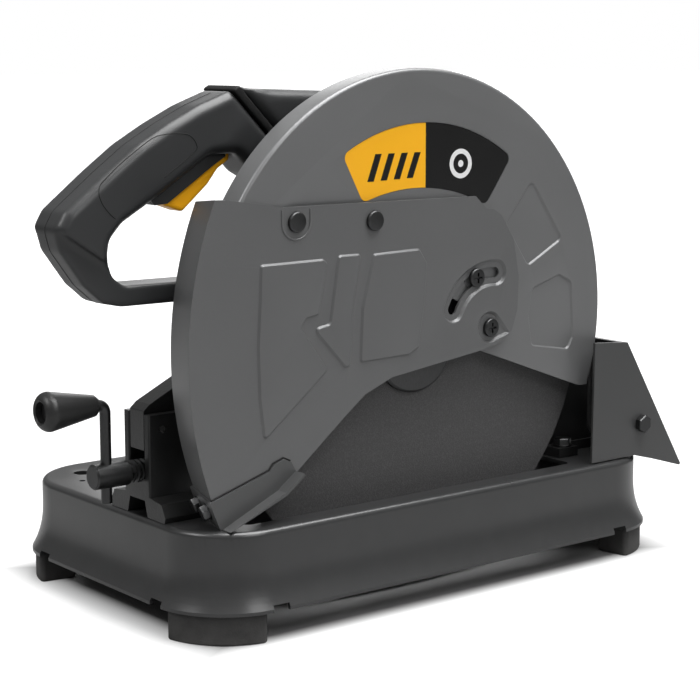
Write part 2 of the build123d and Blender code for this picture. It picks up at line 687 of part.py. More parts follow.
FLANGE_R = 38.0
with BuildPart() as inner_flange:
    shaft(86, WHEEL_X, FLANGE_R, SPINDLE_Y, SPINDLE_Z)
    shaft(83, 86, 13, SPINDLE_Y, SPINDLE_Z)
    shaft(WHEEL_X, WHEEL_X + 2.6, ARBOR_R - 0.05, SPINDLE_Y, SPINDLE_Z)
    shaft(WHEEL_X - 1, WHEEL_X, 30, SPINDLE_Y, SPINDLE_Z, mode=Mode.SUBTRACT)
    shaft(WHEEL_X - 1, WHEEL_X + 2.6, ARBOR_R - 0.05, SPINDLE_Y, SPINDLE_Z)
    shaft(80, WHEEL_X, 8.5, SPINDLE_Y, SPINDLE_Z, mode=Mode.SUBTRACT)
    shaft(WHEEL_X - 1, 100, 5.1, SPINDLE_Y, SPINDLE_Z, mode=Mode.SUBTRACT)
save(inner_flange.part, "inner_flange")

with BuildPart() as abrasive_wheel:
    shaft(WHEEL_X, WHEEL_FAR, WHEEL_RADIUS, SPINDLE_Y, SPINDLE_Z)
    shaft(WHEEL_X, WHEEL_FAR, ARBOR_R, SPINDLE_Y, SPINDLE_Z, mode=Mode.SUBTRACT)
    chamfer(abrasive_wheel.edges().filter_by(GeomType.CIRCLE).sort_by(SortBy.RADIUS)[-2:], 0.4)
save(abrasive_wheel.part, "abrasive_wheel")

with BuildPart() as outer_flange:
    shaft(WHEEL_FAR, WHEEL_FAR + 5, FLANGE_R, SPINDLE_Y, SPINDLE_Z)
    chamfer(outer_flange.faces().sort_by(Axis.X)[-1].edges(), 2)
    shaft(WHEEL_FAR, WHEEL_FAR + 1, 30, SPINDLE_Y, SPINDLE_Z, mode=Mode.SUBTRACT)
    shaft(WHEEL_FAR, WHEEL_FAR + 5, 5.1, SPINDLE_Y, SPINDLE_Z, mode=Mode.SUBTRACT)
save(outer_flange.part, "outer_flange")

with BuildPart() as arbor_bolt:
    seat = Plane(origin=(WHEEL_FAR + 5, SPINDLE_Y, SPINDLE_Z), z_dir=(1, 0, 0))
    add(hex_bolt(seat, 5.0, 24, 16, 6.0, 1.2))
save(arbor_bolt.part, "arbor_bolt")

# ---------------------------------------------------------------- motor
MOTOR_LEFT = -84.0
MOTOR_R = 52.0
with BuildPart() as motor_housing:
    shaft(MOTOR_LEFT, CASE_X[0], MOTOR_R, MOTOR_Y, MOTOR_Z)
    shaft(CASE_X[0] - 8, CASE_X[0], MOTOR_R + 1.6, MOTOR_Y, MOTOR_Z)
    shaft(MOTOR_LEFT, CASE_X[0], MOTOR_R - 3.4, MOTOR_Y, MOTOR_Z, mode=Mode.SUBTRACT)
    # ribs that hold the stator
    for k in range(6):
        a = math.radians(30 + 60 * k)
        with BuildSketch(side(-62)) as rib:
            with Locations((MOTOR_Y + 46.8 * math.cos(a), MOTOR_Z + 46.8 * math.sin(a))):
                Rectangle(5.4, 5, rotation=math.degrees(a))
        extrude(rib.sketch, amount=52)
    # cooling slots round the fan
    for k in range(14):
        with BuildSketch(Plane(origin=(3, MOTOR_Y, MOTOR_Z), x_dir=(1, 0, 0),
                               z_dir=(0, math.cos(2 * math.pi * k / 14), math.sin(2 * math.pi * k / 14))).offset(40)):
            SlotOverall(14, 4)
        extrude(amount=20, mode=Mode.SUBTRACT)
    # brush holder bosses
    for up in (1, -1):
        with BuildSketch(deck(MOTOR_Z + up * (MOTOR_R - 6))):
            with Locations((-74, MOTOR_Y)):
                Circle(10)
        extrude(amount=up * 9)
        with BuildSketch(deck(MOTOR_Z + up * 30)):
            with Locations((-74, MOTOR_Y)):
                Circle(7)
        extrude(amount=up * 40, mode=Mode.SUBTRACT)
save(motor_housing.part, "motor_housing")

with BuildPart() as brush_caps:
    for up in (1, -1):
        with BuildSketch(deck(MOTOR_Z + up * (MOTOR_R - 2))):
            with Locations((-74, MOTOR_Y)):
                Circle(6.9)
        extrude(amount=up * 5.6)
        with BuildSketch(deck(MOTOR_Z + up * (MOTOR_R + 2.6))):
            with Locations((-74, MOTOR_Y)):
                Rectangle(10, 1.6)
        extrude(amount=up * 3, mode=Mode.SUBTRACT)
save(brush_caps.part, "brush_caps")

with BuildPart() as carbon_brushes:
    for up in (1, -1):
        with BuildSketch(deck(MOTOR_Z + up * 17.2)):
            with Locations((-74, MOTOR_Y)):
                Rectangle(12, 8)
        extrude(amount=up * 20)
save(carbon_brushes.part, "carbon_brushes")

with BuildPart() as motor_end_cap:
    shaft(MOTOR_LEFT - 16, MOTOR_LEFT, MOTOR_R, MOTOR_Y, MOTOR_Z)
    fillet(motor_end_cap.faces().sort_by(Axis.X)[0].edges(), 12)
    shaft(MOTOR_LEFT - 12, MOTOR_LEFT, MOTOR_R - 6, MOTOR_Y, MOTOR_Z, mode=Mode.SUBTRACT)
    shaft(MOTOR_LEFT - 12, MOTOR_LEFT - 1, 15, MOTOR_Y, MOTOR_Z)
    shaft(MOTOR_LEFT - 8, MOTOR_LEFT, 11.02, MOTOR_Y, MOTOR_Z, mode=Mode.SUBTRACT)
    for k in range(10):
        a = 2 * math.pi * k / 10
        with BuildSketch(side(MOTOR_LEFT - 20)) as vent:
            with Locations((MOTOR_Y + 29 * math.cos(a), MOTOR_Z + 29 * math.sin(a))):
                SlotOverall(16, 4, rotation=math.degrees(a))
        extrude(vent.sketch, amount=12, mode=Mode.SUBTRACT)
save(motor_end_cap.part, "motor_end_cap")

with BuildPart() as stator:
    shaft(-58, -14, 44, MOTOR_Y, MOTOR_Z)
    shaft(-58, -14, 27, MOTOR_Y, MOTOR_Z, mode=Mode.SUBTRACT)
save(stator.part, "stator")

with BuildPart() as armature:
    shaft(-56, -16, 26, MOTOR_Y, MOTOR_Z)
    for k in range(12):
        a = 2 * math.pi * k / 12
        shaft(-56, -16, 2.2, MOTOR_Y + 24.4 * math.cos(a), MOTOR_Z + 24.4 * math.sin(a), mode=Mode.SUBTRACT)
    shaft(-66, -56, 18, MOTOR_Y, MOTOR_Z)
    shaft(-82, -66, 17, MOTOR_Y, MOTOR_Z)
    shaft(-82, -16, 5, MOTOR_Y, MOTOR_Z, mode=Mode.SUBTRACT)
save(armature.part, "armature")

with BuildPart() as armature_shaft:
    shaft(-91.7, -83, 4, MOTOR_Y, MOTOR_Z)
    shaft(-83, GEAR_X[1] + 2, 5, MOTOR_Y, MOTOR_Z)
save(armature_shaft.part, "armature_shaft")

with BuildPart() as cooling_fan:
    shaft(-6, 12, 9, MOTOR_Y, MOTOR_Z)
    shaft(9, 12, 45, MOTOR_Y, MOTOR_Z)
    with BuildSketch(side(-4)) as blades:
        with Locations((MOTOR_Y, MOTOR_Z)):
            with PolarLocations(28, 11):
                Rectangle(30, 2, rotation=24)
    extrude(blades.sketch, amount=14)
    shaft(-8, 14, 5, MOTOR_Y, MOTOR_Z, mode=Mode.SUBTRACT)
save(cooling_fan.part, "cooling_fan")

with BuildPart() as cable_inlet:
    inlet = Plane(origin=(-40, MOTOR_Y + MOTOR_R - 0.5, MOTOR_Z + 4), z_dir=(0, 1, 0))
    with BuildSketch(inlet):
        Circle(11)
    extrude(amount=8)
    with BuildSketch(inlet.offset(8)):
        Circle(8)
    extrude(amount=7, taper=6)
    with BuildSketch(inlet):
        Circle(4)
    extrude(amount=16, mode=Mode.SUBTRACT)
    shaft(-60, -20, MOTOR_R, MOTOR_Y, MOTOR_Z, mode=Mode.SUBTRACT)
save(cable_inlet.part, "cable_inlet")

# ---------------------------------------------------------------- upper guard
def guard_region(plane):
    """The part of the guard's disc that lies above its lower edge and clears the arbor, as a placed sketch."""
    with BuildSketch(plane) as region:
        with Locations((GUARD_Y, GUARD_Z)):
            Circle(GUARD_R)
        with BuildLine():
            Polyline((-260, 186), (-62, 186), (-50, 215), (-13, 239), (24, 222), (34, 190), (42.7, 183.3),
                     (153, 143), (190, 143), (190, 0), (-260, 0), close=True)
        make_face(mode=Mode.SUBTRACT)
    return region.sketch


def label_sketch(plane, grow):
    """The label's outline: a banana shape with round corners, as a placed sketch."""
    with BuildSketch(plane) as label:
        with BuildLine():
            ThreePointArc((-90, 338), (-12, 360), (76, 331))
            Line((76, 331), (50, 295))
            ThreePointArc((50, 295), (-10, 311), (-71, 302.5))
            Line((-71, 302.5), (-90, 338))
        make_face()
        fillet(label.vertices(), 6)
        offset(amount=grow)
    return label.sketch


DIMPLES = (
    ((99, 313), (134, 264), (96, 244), (71, 280)),
    ((101, 227), (131, 236), (145, 229), (148, 183), (142, 173), (101, 180), (97, 205)),
)
BOSSES = ((PIVOT_Y, PIVOT_Z), about_pivot(SLOT_RADIUS, SLOT_SCREW_ANGLE))
with BuildPart() as upper_guard:
    extrude(guard_region(side(GUARD_X[0])), amount=GUARD_X[1] - GUARD_X[0])
    fillet(upper_guard.edges().filter_by(GeomType.CIRCLE).group_by(Axis.X)[-1].sort_by(SortBy.RADIUS)[-1], 3)
    # the face sinks inside a broad ring
    with BuildSketch(side(RECESS_X)) as recess:
        with Locations((RECESS_Y, RECESS_Z)):
            Circle(RECESS_R - 8)
    extrude(recess.sketch, amount=RECESS_DEPTH, taper=-72, mode=Mode.SUBTRACT)
    # hollow behind the face, with a flange turned in towards the back plate
    with BuildSketch(side(GUARD_X[0] + 2)) as hollow:
        with Locations((GUARD_Y, GUARD_Z)):
            Circle(GUARD_R - 2.4)
    extrude(hollow.sketch, amount=RECESS_X - GUARD_SHEET - GUARD_X[0] - 2, mode=Mode.SUBTRACT)
    with BuildSketch(side(GUARD_X[0])) as mouth:
        with Locations((BACK_Y, BACK_Z)):
            Circle(BACK_R + 0.05)
    extrude(mouth.sketch, amount=2, mode=Mode.SUBTRACT)
    # pressed dimples, the label's recess and the bosses for the lower guard's screws
    for points in DIMPLES:
        with BuildSketch(side(RECESS_X)) as dimple:
            with BuildLine():
                Polyline(*points, close=True)
            make_face()
            fillet(dimple.vertices(), 5)
        extrude(dimple.sketch, amount=-1.3, taper=45, mode=Mode.SUBTRACT)
    extrude(label_sketch(side(RECESS_X), 0), amount=-1.2, mode=Mode.SUBTRACT)
    for spot in BOSSES:
        shaft(RECESS_X - 3, RECESS_X + 0.9, 9, *spot)
        shaft(RECESS_X - 4, RECESS_X + 2, 3.0, *spot, mode=Mode.SUBTRACT)
save(upper_guard.part, "upper_guard")

LABEL_SPLIT = -11.0
for name, edge in (("badge_yellow", -100.0), ("badge_black", 100.0)):
    with BuildPart() as badge:
        extrude(label_sketch(side(RECESS_X - 1.2), -0.3), amount=0.9)
        with BuildSketch(side(RECESS_X - 2)) as half:
            with Locations(((LABEL_SPLIT + edge) / 2, 330)):
                Rectangle(abs(edge - LABEL_SPLIT) - 0.1, 90)
        extrude(half.sketch, amount=4, mode=Mode.INTERSECT)
    save(badge.part, name)

with BuildPart() as guard_back:
    with BuildSketch(side(BACK_X)) as back:
        with Locations((BACK_Y, BACK_Z)):
            Circle(BACK_R)
        with BuildLine():
            Polyline((-260, 190), (-60, 190), (-52, 146), (30, 146), (60, 160), (150, 143), (190, 143),
                     (190, 0), (-260, 0), close=True)
        make_face(mode=Mode.SUBTRACT)
    extrude(back.sketch, amount=GUARD_X[0] + 2 - BACK_X)
    with BuildSketch(side(BACK_X + 2.5)) as hollow:
        with Locations((BACK_Y, BACK_Z)):
            Circle(BACK_R - 2.4)
    extrude(hollow.sketch, amount=20, mode=Mode.SUBTRACT)
    shaft(BACK_X - 1, BACK_X + 4, 22, SPINDLE_Y, SPINDLE_Z, mode=Mode.SUBTRACT)
    for k in range(4):
        a = math.radians(45 + 90 * k)
        shaft(BACK_X - 1, BACK_X + 4, 2.55, SPINDLE_Y + 40 * math.cos(a), SPINDLE_Z + 40 * math.sin(a),
              mode=Mode.SUBTRACT)
save(guard_back.part, "guard_back")


# ---------------------------------------------------------------- lower guard
def cone_band(near_gap, far_gap, thick, start, end, x0, x1):
    """A coned strip round the guard pivot, held off the front wall's outer face, as a part."""
    slope = (WALL_NEAR_R - WALL_FAR_R) / (PLATE_X[1] - WALL_FAR_X)
    r0 = WALL_FAR_R + slope * (x0 - WALL_FAR_X) + far_gap
    r1 = WALL_FAR_R + slope * (x1 - WALL_FAR_X) + near_gap
    a = math.radians(start)
    plane = Plane(origin=(0, PIVOT_Y, PIVOT_Z), x_dir=(1, 0, 0), z_dir=(0, -math.sin(a), math.cos(a)))
    with BuildPart() as band:
        with BuildSketch(plane):
            with BuildLine():
                Polyline((x0, r0), (x1, r1), (x1, r1 + thick), (x0, r0 + thick), close=True)
            make_face()
        revolve(axis=Axis((0, PIVOT_Y, PIVOT_Z), (1, 0, 0)), revolution_arc=end - start)
    return band.part


LIP_TOP_ANGLE = 200.4
LIP_SHEET = 2.4
LIP_BOLT_ANGLE = math.radians(202.6)
LIP_SEATS = []
for x in (87.0, 104.0):
    tilt = math.atan((WALL_NEAR_R - WALL_FAR_R) / (PLATE_X[1] - WALL_FAR_X))
    r = WALL_FAR_R + (x - WALL_FAR_X) * math.tan(tilt) + LIP_SHEET
    outward = (-math.sin(tilt), math.cos(LIP_BOLT_ANGLE) * math.cos(tilt), math.sin(LIP_BOLT_ANGLE) * math.cos(tilt))
    point = (x, PIVOT_Y + r * math.cos(LIP_BOLT_ANGLE), PIVOT_Z + r * math.sin(LIP_BOLT_ANGLE))
    LIP_SEATS.append(Plane(origin=point, z_dir=outward))


def lip_bolt_holes():
    """Two drilled holes under the lip's bolts, as a part to take away."""
    with BuildPart() as drill:
        for seat in LIP_SEATS:
            with BuildSketch(seat.offset(3)):
                Circle(3.05)
            extrude(amount=-16)
    return drill.part


RAISED = (
    ((-168, 265), (-112, 265.5), (-108, 262), (-116, 225), (-128, 223), (-132, 217), (-108, 184), (-166, 138),
     (-170, 170), (-171, 207), (-169, 240)),
    ((-99, 267), (-77, 267), (-85, 227), (-87, 184), (-93, 184), (-119, 212), (-119, 216), (-107, 218)),
    ((-66, 266), (-22, 267), (-14, 256), (-16, 225), (-22, 192), (-31, 187), (-79, 186), (-77, 227)),
)
RAISED_HEIGHT = 1.5
slot_arc = CenterArc((PIVOT_Y, PIVOT_Z), SLOT_RADIUS, SLOT_ANGLES[0], SLOT_ANGLES[1] - SLOT_ANGLES[0])
with BuildPart() as lower_guard:
    with BuildSketch(side(PLATE_X[0])) as plate:
        with BuildLine():
            sweep_angle = WALL_BOTTOM_ANGLE - WALL_TOP_ANGLE
            arc = CenterArc((PIVOT_Y, PIVOT_Z), WALL_NEAR_R - 0.7, WALL_TOP_ANGLE, sweep_angle)
            Polyline(arc @ 1, (-150, 102), (-137, 112), (-93, 147), (-73, 162), (-47, 172), (42.7, 183.3),
                     (60, 187), (74, 195), (80, 212), (81, 238), (75, 268), (62, 287), (54, 292), (46, 293),
                     (35, 303), (-147, 304), (-196, 311.5), arc @ 0)
        make_face()
        fillet(plate.vertices().group_by(Axis.X)[-7:], 6)
    extrude(plate.sketch, amount=PLATE_X[1] - PLATE_X[0])
    add(cone_band(-WALL_SHEET, -WALL_SHEET, WALL_SHEET, WALL_TOP_ANGLE, WALL_BOTTOM_ANGLE, WALL_FAR_X, PLATE_X[1]))
    # pressed panels stand proud of the plate
    for points in RAISED:
        with BuildSketch(side(PLATE_X[1])) as panel:
            with BuildLine():
                Polyline(*points, close=True)
            make_face()
            fillet(panel.vertices(), 3)
        extrude(panel.sketch, amount=RAISED_HEIGHT, taper=45)
    # the slot and the pivot sit in pressed hollows, with the metal carried through behind them
    with BuildSketch(side(PLATE_X[0] - 1.9)) as slot_back:
        SlotArc(slot_arc, 22)
        with Locations((PIVOT_Y, PIVOT_Z)):
            Circle(13.5)
    extrude(slot_back.sketch, amount=2.2)
    with BuildSketch(side(PLATE_X[1])) as slot_hollow:
        SlotArc(slot_arc, 21)
    extrude(slot_hollow.sketch, amount=-2.0, taper=45, mode=Mode.SUBTRACT)
    with BuildSketch(side(PLATE_X[1])) as pivot_hollow:
        with Locations((PIVOT_Y - 2, PIVOT_Z + 0.5)):
            Circle(12.5)
        with Locations((PIVOT_Y + 17, PIVOT_Z - 5)):
            Circle(1.5)
        make_hull()
    extrude(pivot_hollow.sketch, amount=-2.0, taper=45, mode=Mode.SUBTRACT)
    with BuildSketch(side(PLATE_X[0] - 4)) as slot_cut:
        SlotArc(slot_arc, 8.4)
        with Locations((PIVOT_Y, PIVOT_Z)):
            Circle(6.05)
    extrude(slot_cut.sketch, amount=10, mode=Mode.SUBTRACT)
    add(lip_bolt_holes(), mode=Mode.SUBTRACT)
save(lower_guard.part, "lower_guard")

with BuildPart() as guard_rivets:
    for spot in ((-136, 293), (-65, 290)):
        shaft(PLATE_X[1], PLATE_X[1] + 3, 7.4, *spot)
    chamfer(guard_rivets.faces().sort_by(Axis.X)[-2:].edges(), 0.8)
save(guard_rivets.part, "guard_rivets")

with BuildPart() as guard_lip:
    add(cone_band(0, 0, LIP_SHEET, LIP_TOP_ANGLE, WALL_BOTTOM_ANGLE, WALL_FAR_X - 1, PLATE_X[1] + LIP_SHEET))
    with BuildSketch(side(PLATE_X[1])) as lip_side:
        with BuildLine():
            arc = CenterArc((PIVOT_Y, PIVOT_Z), WALL_NEAR_R + 1.5, LIP_TOP_ANGLE, WALL_BOTTOM_ANGLE - LIP_TOP_ANGLE)
            Polyline(arc @ 1, (-155, 102), (-139, 114), (-143, 121), (-149, 124), (-158, 121), (-162, 116.5), arc @ 0)
        make_face()
    extrude(lip_side.sketch, amount=LIP_SHEET)
    with BuildSketch(side(PLATE_X[1])) as lip_flange:
        with BuildLine():
            Polyline(arc @ 1, (-155, 102), (-139, 114), (-137.6, 112.2), (-154, 99.7), (-201.5, 80.9), close=True)
        make_face()
    extrude(lip_flange.sketch, amount=12)
    add(lip_bolt_holes(), mode=Mode.SUBTRACT)
save(guard_lip.part, "guard_lip")

with BuildPart() as lip_bolts:
    for seat in LIP_SEATS:
        add(hex_bolt(seat, 3.0, LIP_SHEET + WALL_SHEET + 3, 10, 4.2, 1.2))
save(lip_bolts.part, "lip_bolts")

with BuildPart() as guard_cross_screws:
    for spot, sleeve in zip(BOSSES, (6.0, 3.9)):
        seat = Plane(origin=(PLATE_X[1] - 1.7, *spot), x_dir=(0, 1, 0), z_dir=(1, 0, 0))
        add(cross_screw(seat, 3.0, 6.0, 7.3, 3.0))
        shaft(RECESS_X + 0.9, PLATE_X[1] - 1.7, sleeve, *spot)
save(guard_cross_screws.part, "guard_cross_screws")

# ---------------------------------------------------------------- handle
LOCK_OFF_SPOT = (-218.0, 340.0)
GRIP = ((-157, 385), (-187, 374), (-212, 362), (-237, 348), (-262, 330), (-294, 305), (-301, 293), (-297, 278),
        (-279, 253), (-264, 240), (-249, 236.5), (-40, 235), (-40, 249.5), (-247, 251.5), (-256, 258), (-261, 273),
        (-259, 284), (-249, 295), (-219, 312), (-176, 339), (-153, 340), (-139, 325), (-124, 317), (-108, 335))


def handle_body(x0, x1, outer_last):
    """One side of the D-handle between two X planes, rounded over on its outer face, as a part."""
    with BuildPart() as body:
        with BuildSketch(side(x0)) as loop:
            with BuildLine():
                Polyline(*GRIP, close=True)
            make_face()
            fillet(loop.vertices().filter_by_position(Axis.X, -302, -120), 5.5)
        extrude(loop.sketch, amount=x1 - x0)
        rim = body.faces().sort_by(Axis.X)[-1 if outer_last else 0].edges()
        chamfer(rim.filter_by_position(Axis.Y, -305, -106), 5, 5)
    return body.part


for name, x0, x1 in (("handle_right", HANDLE_X, HANDLE_X + GRIP_HALF), ("handle_left", HANDLE_X - GRIP_HALF, HANDLE_X)):
    with BuildPart() as half:
        add(handle_body(x0, x1, x1 > HANDLE_X))
        # the strap and the lower bar are slimmer than the grip
        slim = HANDLE_X + STRAP_HALF if x1 > HANDLE_X else HANDLE_X - GRIP_HALF
        with BuildSketch(side(slim)) as waist:
            with BuildLine():
                Polyline((-310, 300), (-262, 268), (-240, 290), (-190, 322), (-140, 316), (-20, 300), (-20, 200),
                         (-310, 200), close=True)
            make_face()
        extrude(waist.sketch, amount=GRIP_HALF - STRAP_HALF, mode=Mode.SUBTRACT)
        # a pocket for the trigger and its switch
        with BuildSketch(side(HANDLE_X - 9)) as pocket:
            with BuildLine():
                Polyline((-222, 318), (-205, 300), (-150, 330), (-150, 341), (-158, 362), (-172, 360), (-210, 337),
                         close=True)
            make_face()
        extrude(pocket.sketch, amount=18, mode=Mode.SUBTRACT)
        extrude(case_sketch(side(10), 0), amount=80, mode=Mode.SUBTRACT)
        if x0 < HANDLE_X - 1:
            shaft(x0 - 1, HANDLE_X - 9, 5.06, *LOCK_OFF_SPOT, mode=Mode.SUBTRACT)
    save(half.part, name)

with BuildPart() as trigger:
    with BuildSketch(side(HANDLE_X - 8.4)) as blade:
        with BuildLine():
            Polyline((-211, 305.5), (-194, 299.5), (-172, 318), (-163, 329), (-153, 335), (-153, 343), (-168, 346),
                     (-205, 324), close=True)
        make_face()
        fillet(blade.vertices(), 2.4)
    extrude(blade.sketch, amount=16.8)
    fillet(trigger.edges().filter_by(Plane.YZ), 1.6)
    shaft(HANDLE_X - 10, HANDLE_X + 10, 2.05, -158.5, 340, mode=Mode.SUBTRACT)
save(trigger.part, "trigger")

with BuildPart() as trigger_pin:
    shaft(HANDLE_X - 9, HANDLE_X + 9, 2.0, -158.5, 340)
save(trigger_pin.part, "trigger_pin")

with BuildPart() as trigger_switch:
    with BuildSketch(side(HANDLE_X - 8.5)) as block:
        with BuildLine():
            Polyline((-200, 336), (-172, 353.5), (-168, 353), (-166, 357), (-172, 359), (-205, 339), close=True)
        make_face()
    extrude(block.sketch, amount=17)
save(trigger_switch.part, "trigger_switch")

with BuildPart() as handle_collar:
    with BuildSketch(side(HANDLE_X - GRIP_HALF + 1)) as ring:
        with BuildLine():
            Polyline((-157, 385), (-152, 388.5), (-102, 337.5), (-108, 335), close=True)
        make_face()
    extrude(ring.sketch, amount=2 * GRIP_HALF - 2)
save(handle_collar.part, "handle_collar")

with BuildPart() as handle_neck:
    with BuildSketch(side(HANDLE_X - GRIP_HALF)) as neck:
        with BuildLine():
            Polyline((-152, 388.5), (-142, 386), (-62, 383), (-10, 372), (36, 340), (62, 290), (62, 262), (-20, 240),
                     (-24, 262), (-10, 300), (-40, 322), (-86, 330), (-102, 337.5), close=True)
        make_face()
        fillet(neck.vertices().filter_by_position(Axis.X, -70, 40), 8)
    extrude(neck.sketch, amount=2 * GRIP_HALF)
    for end in (0, -1):
        rim = handle_neck.faces().sort_by(Axis.X)[end].edges()
        chamfer(rim.filter_by_position(Axis.Z, 300, 392).filter_by_position(Axis.Y, -144, 60), 5)
    extrude(case_sketch(side(10), 0), amount=70, mode=Mode.SUBTRACT)
save(handle_neck.part, "handle_neck")

with BuildPart() as handle_screws:
    for spot in ((-282, 300), (-258, 246), (-190, 360), (-70, 242), (-120, 362), (20, 330)):
        x0 = HANDLE_X - GRIP_HALF if spot[1] > 290 else HANDLE_X - STRAP_HALF
        shaft(x0 - 0.8, x0, 3.4, *spot)
save(handle_screws.part, "handle_screws")

with BuildPart() as lock_off_button:
    shaft(HANDLE_X - GRIP_HALF - 4, HANDLE_X - GRIP_HALF + 6, 5.0, *LOCK_OFF_SPOT)
    fillet(lock_off_button.faces().sort_by(Axis.X)[0].edges(), 1.2)
save(lock_off_button.part, "lock_off_button")

with BuildPart() as spindle_lock_button:
    shaft(12, GEAR_X[0] - 0.5, 4.0, *LOCK_BUTTON)
    shaft(8, 15, 8.0, *LOCK_BUTTON)
    fillet(spindle_lock_button.faces().sort_by(Axis.X)[0].edges(), 1.5)
save(spindle_lock_button.part, "spindle_lock_button")

# ---------------------------------------------------------------- spark hood
HOOD_SIDE = ((151, 80.8), (152, 180), (190, 177), (258.5, 66), (254, 67), (201, 81))
with BuildPart() as spark_guard:
    with BuildSketch(side(HOOD_X[1] - HOOD_SHEET)) as near_plate:
        with BuildLine():
            Polyline(*HOOD_SIDE, close=True)
        make_face()
    extrude(near_plate.sketch, amount=HOOD_SHEET)
    with BuildSketch(side(HOOD_X[0])) as far_plate:
        with BuildLine():
            Polyline((194, 92), (188, 100), (188, 172), (190, 177), (258.5, 66), (236, 86), (214, 92), close=True)
        make_face()
    extrude(far_plate.sketch, amount=HOOD_SHEET)
    with BuildSketch(side(HOOD_X[0])) as rear_wall:
        with BuildLine():
            Polyline((190, 177), (258.5, 66), (256, 65.2), (187.4, 176.4), close=True)
        make_face()
    extrude(rear_wall.sketch, amount=HOOD_X[1] - HOOD_X[0])
    shaft(HOOD_X[0] - 1, HOOD_X[1] + 1, 4.06, *HOOD_PIVOT, mode=Mode.SUBTRACT)
save(spark_guard.part, "spark_guard")

# ---------------------------------------------------------------- M8 hex bolts that hold things to the base
with BuildPart() as deck_bolts:
    for x, y in VISE_BOLTS:
        add(hex_bolt(Plane(origin=(x, y, DECK - SHEET), z_dir=(0, 0, -1)), 4.0, SHEET + 8, 13, 5.3, 1.4))
    for x, y in BRACKET_BOLTS:
        add(hex_bolt(Plane(origin=(x, y, DECK + 8), z_dir=(0, 0, 1)), 4.0, 20, 13, 5.3, 1.6))
    add(hex_bolt(Plane(origin=(*FENCE_PIVOT, DECK + 6.6), z_dir=(0, 0, 1)), 4.0, 16, 13, 5.3, 1.6))
    with BuildSketch(deck(DECK - SHEET)):
        with Locations(*BRACKET_BOLTS, FENCE_PIVOT):
            RegularPolygon(6.5, 6, major_radius=False)
    extrude(amount=-6)
    add(hex_bolt(Plane(origin=(HOOD_X[1] + 0.3, *HOOD_PIVOT), z_dir=(1, 0, 0)), 4.0, 9, 13, 5.3, 0))
    add(hex_bolt(Plane(origin=(HOOD_X[0] - 0.3, *HOOD_PIVOT), z_dir=(-1, 0, 0)), 4.0, 9, 13, 5.0, 0))
save(deck_bolts.part, "deck_bolts")
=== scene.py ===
# %% [markdown]
# # An abrasive chop saw around its CAD frame
# A chop saw is a stamped steel base, a screw vise and a tilting head that carries a motor, a cutting wheel
# and two guards. The solids already exist as a CAD model, so this lesson is about looks: softer edges,
# moulded plastic, a real screw thread, and a paint, casting or rubber finish for every part. Everything is in
# metres, with X to the operator's right, Y to the rear and Z up, and the ground at zero.

# %% Load the frame
import json
import math

import bmesh
import bpy
from mathutils import Matrix, Vector
from mathutils.bvhtree import BVHTree


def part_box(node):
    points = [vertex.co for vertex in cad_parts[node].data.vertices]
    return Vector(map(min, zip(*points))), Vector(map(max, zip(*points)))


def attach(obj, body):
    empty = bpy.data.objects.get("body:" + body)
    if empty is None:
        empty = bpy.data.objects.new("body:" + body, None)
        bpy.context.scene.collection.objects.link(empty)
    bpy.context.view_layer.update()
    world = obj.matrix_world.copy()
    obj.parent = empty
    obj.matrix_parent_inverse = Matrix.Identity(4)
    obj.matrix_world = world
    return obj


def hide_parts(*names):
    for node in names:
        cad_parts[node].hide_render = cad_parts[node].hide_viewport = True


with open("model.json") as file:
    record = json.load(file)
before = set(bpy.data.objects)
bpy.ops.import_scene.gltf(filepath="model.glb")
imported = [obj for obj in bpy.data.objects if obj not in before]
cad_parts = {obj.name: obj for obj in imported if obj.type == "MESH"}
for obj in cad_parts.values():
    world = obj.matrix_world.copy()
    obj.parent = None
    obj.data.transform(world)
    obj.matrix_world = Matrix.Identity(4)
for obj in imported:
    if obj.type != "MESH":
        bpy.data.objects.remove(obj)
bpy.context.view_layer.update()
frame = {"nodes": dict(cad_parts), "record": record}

nodes = frame["nodes"]
record = frame["record"]
slot_of = {entry["node"]: entry["material_slot"] for entry in record["subparts"]}
body_of = {node: body for body, members in record["behaviour"]["bodies"].items() for node in members}
scene = bpy.context.scene

# %% [markdown]
# ## The camera
# A long lens flattens the perspective, as product pictures do. The camera is placed by an azimuth round the
# saw and an elevation over the ground, then turned to look at a point inside the saw. Working from angles and
# a distance makes it easy to nudge one of them without disturbing the others.

# %% Camera
AZIMUTH = math.radians(51.65)
ELEVATION = math.radians(9.25)
DISTANCE = 1.4957
LOOK_AT = Vector((0.00472, 0.0, 0.17365))
LENS_MM, SENSOR_MM = 95.2, 36.0
level = math.cos(ELEVATION)
back = Vector((math.sin(AZIMUTH) * level, -math.cos(AZIMUTH) * level, math.sin(ELEVATION)))
camera = bpy.data.objects.new("camera", bpy.data.cameras.new("camera"))
scene.collection.objects.link(camera)
camera.location = LOOK_AT + DISTANCE * back
camera.rotation_euler = back.to_track_quat("Z", "Y").to_euler()
camera.data.lens = LENS_MM
camera.data.sensor_width = SENSOR_MM
camera.data.clip_end = 60.0
scene.camera = camera
print("camera at", [round(v, 3) for v in camera.location])

# %% [markdown]
# ## Short names for shader nodes
# A node tree is made of nodes and links, and writing each one out hides the idea. These helpers add one
# node, feed its inputs with numbers or with other sockets, and hand back the output, so a mask reads like a
# formula.

# %% Node helpers
def feed(tree, socket, value):
    """Sets an input socket to a number or tuple, or links another socket to it."""
    if isinstance(value, (int, float, tuple)):
        socket.default_value = value
    else:
        tree.links.new(value, socket)


def object_place(tree):
    """The place on the surface in the object's own coordinates."""
    return tree.nodes.new("ShaderNodeTexCoord").outputs["Object"]


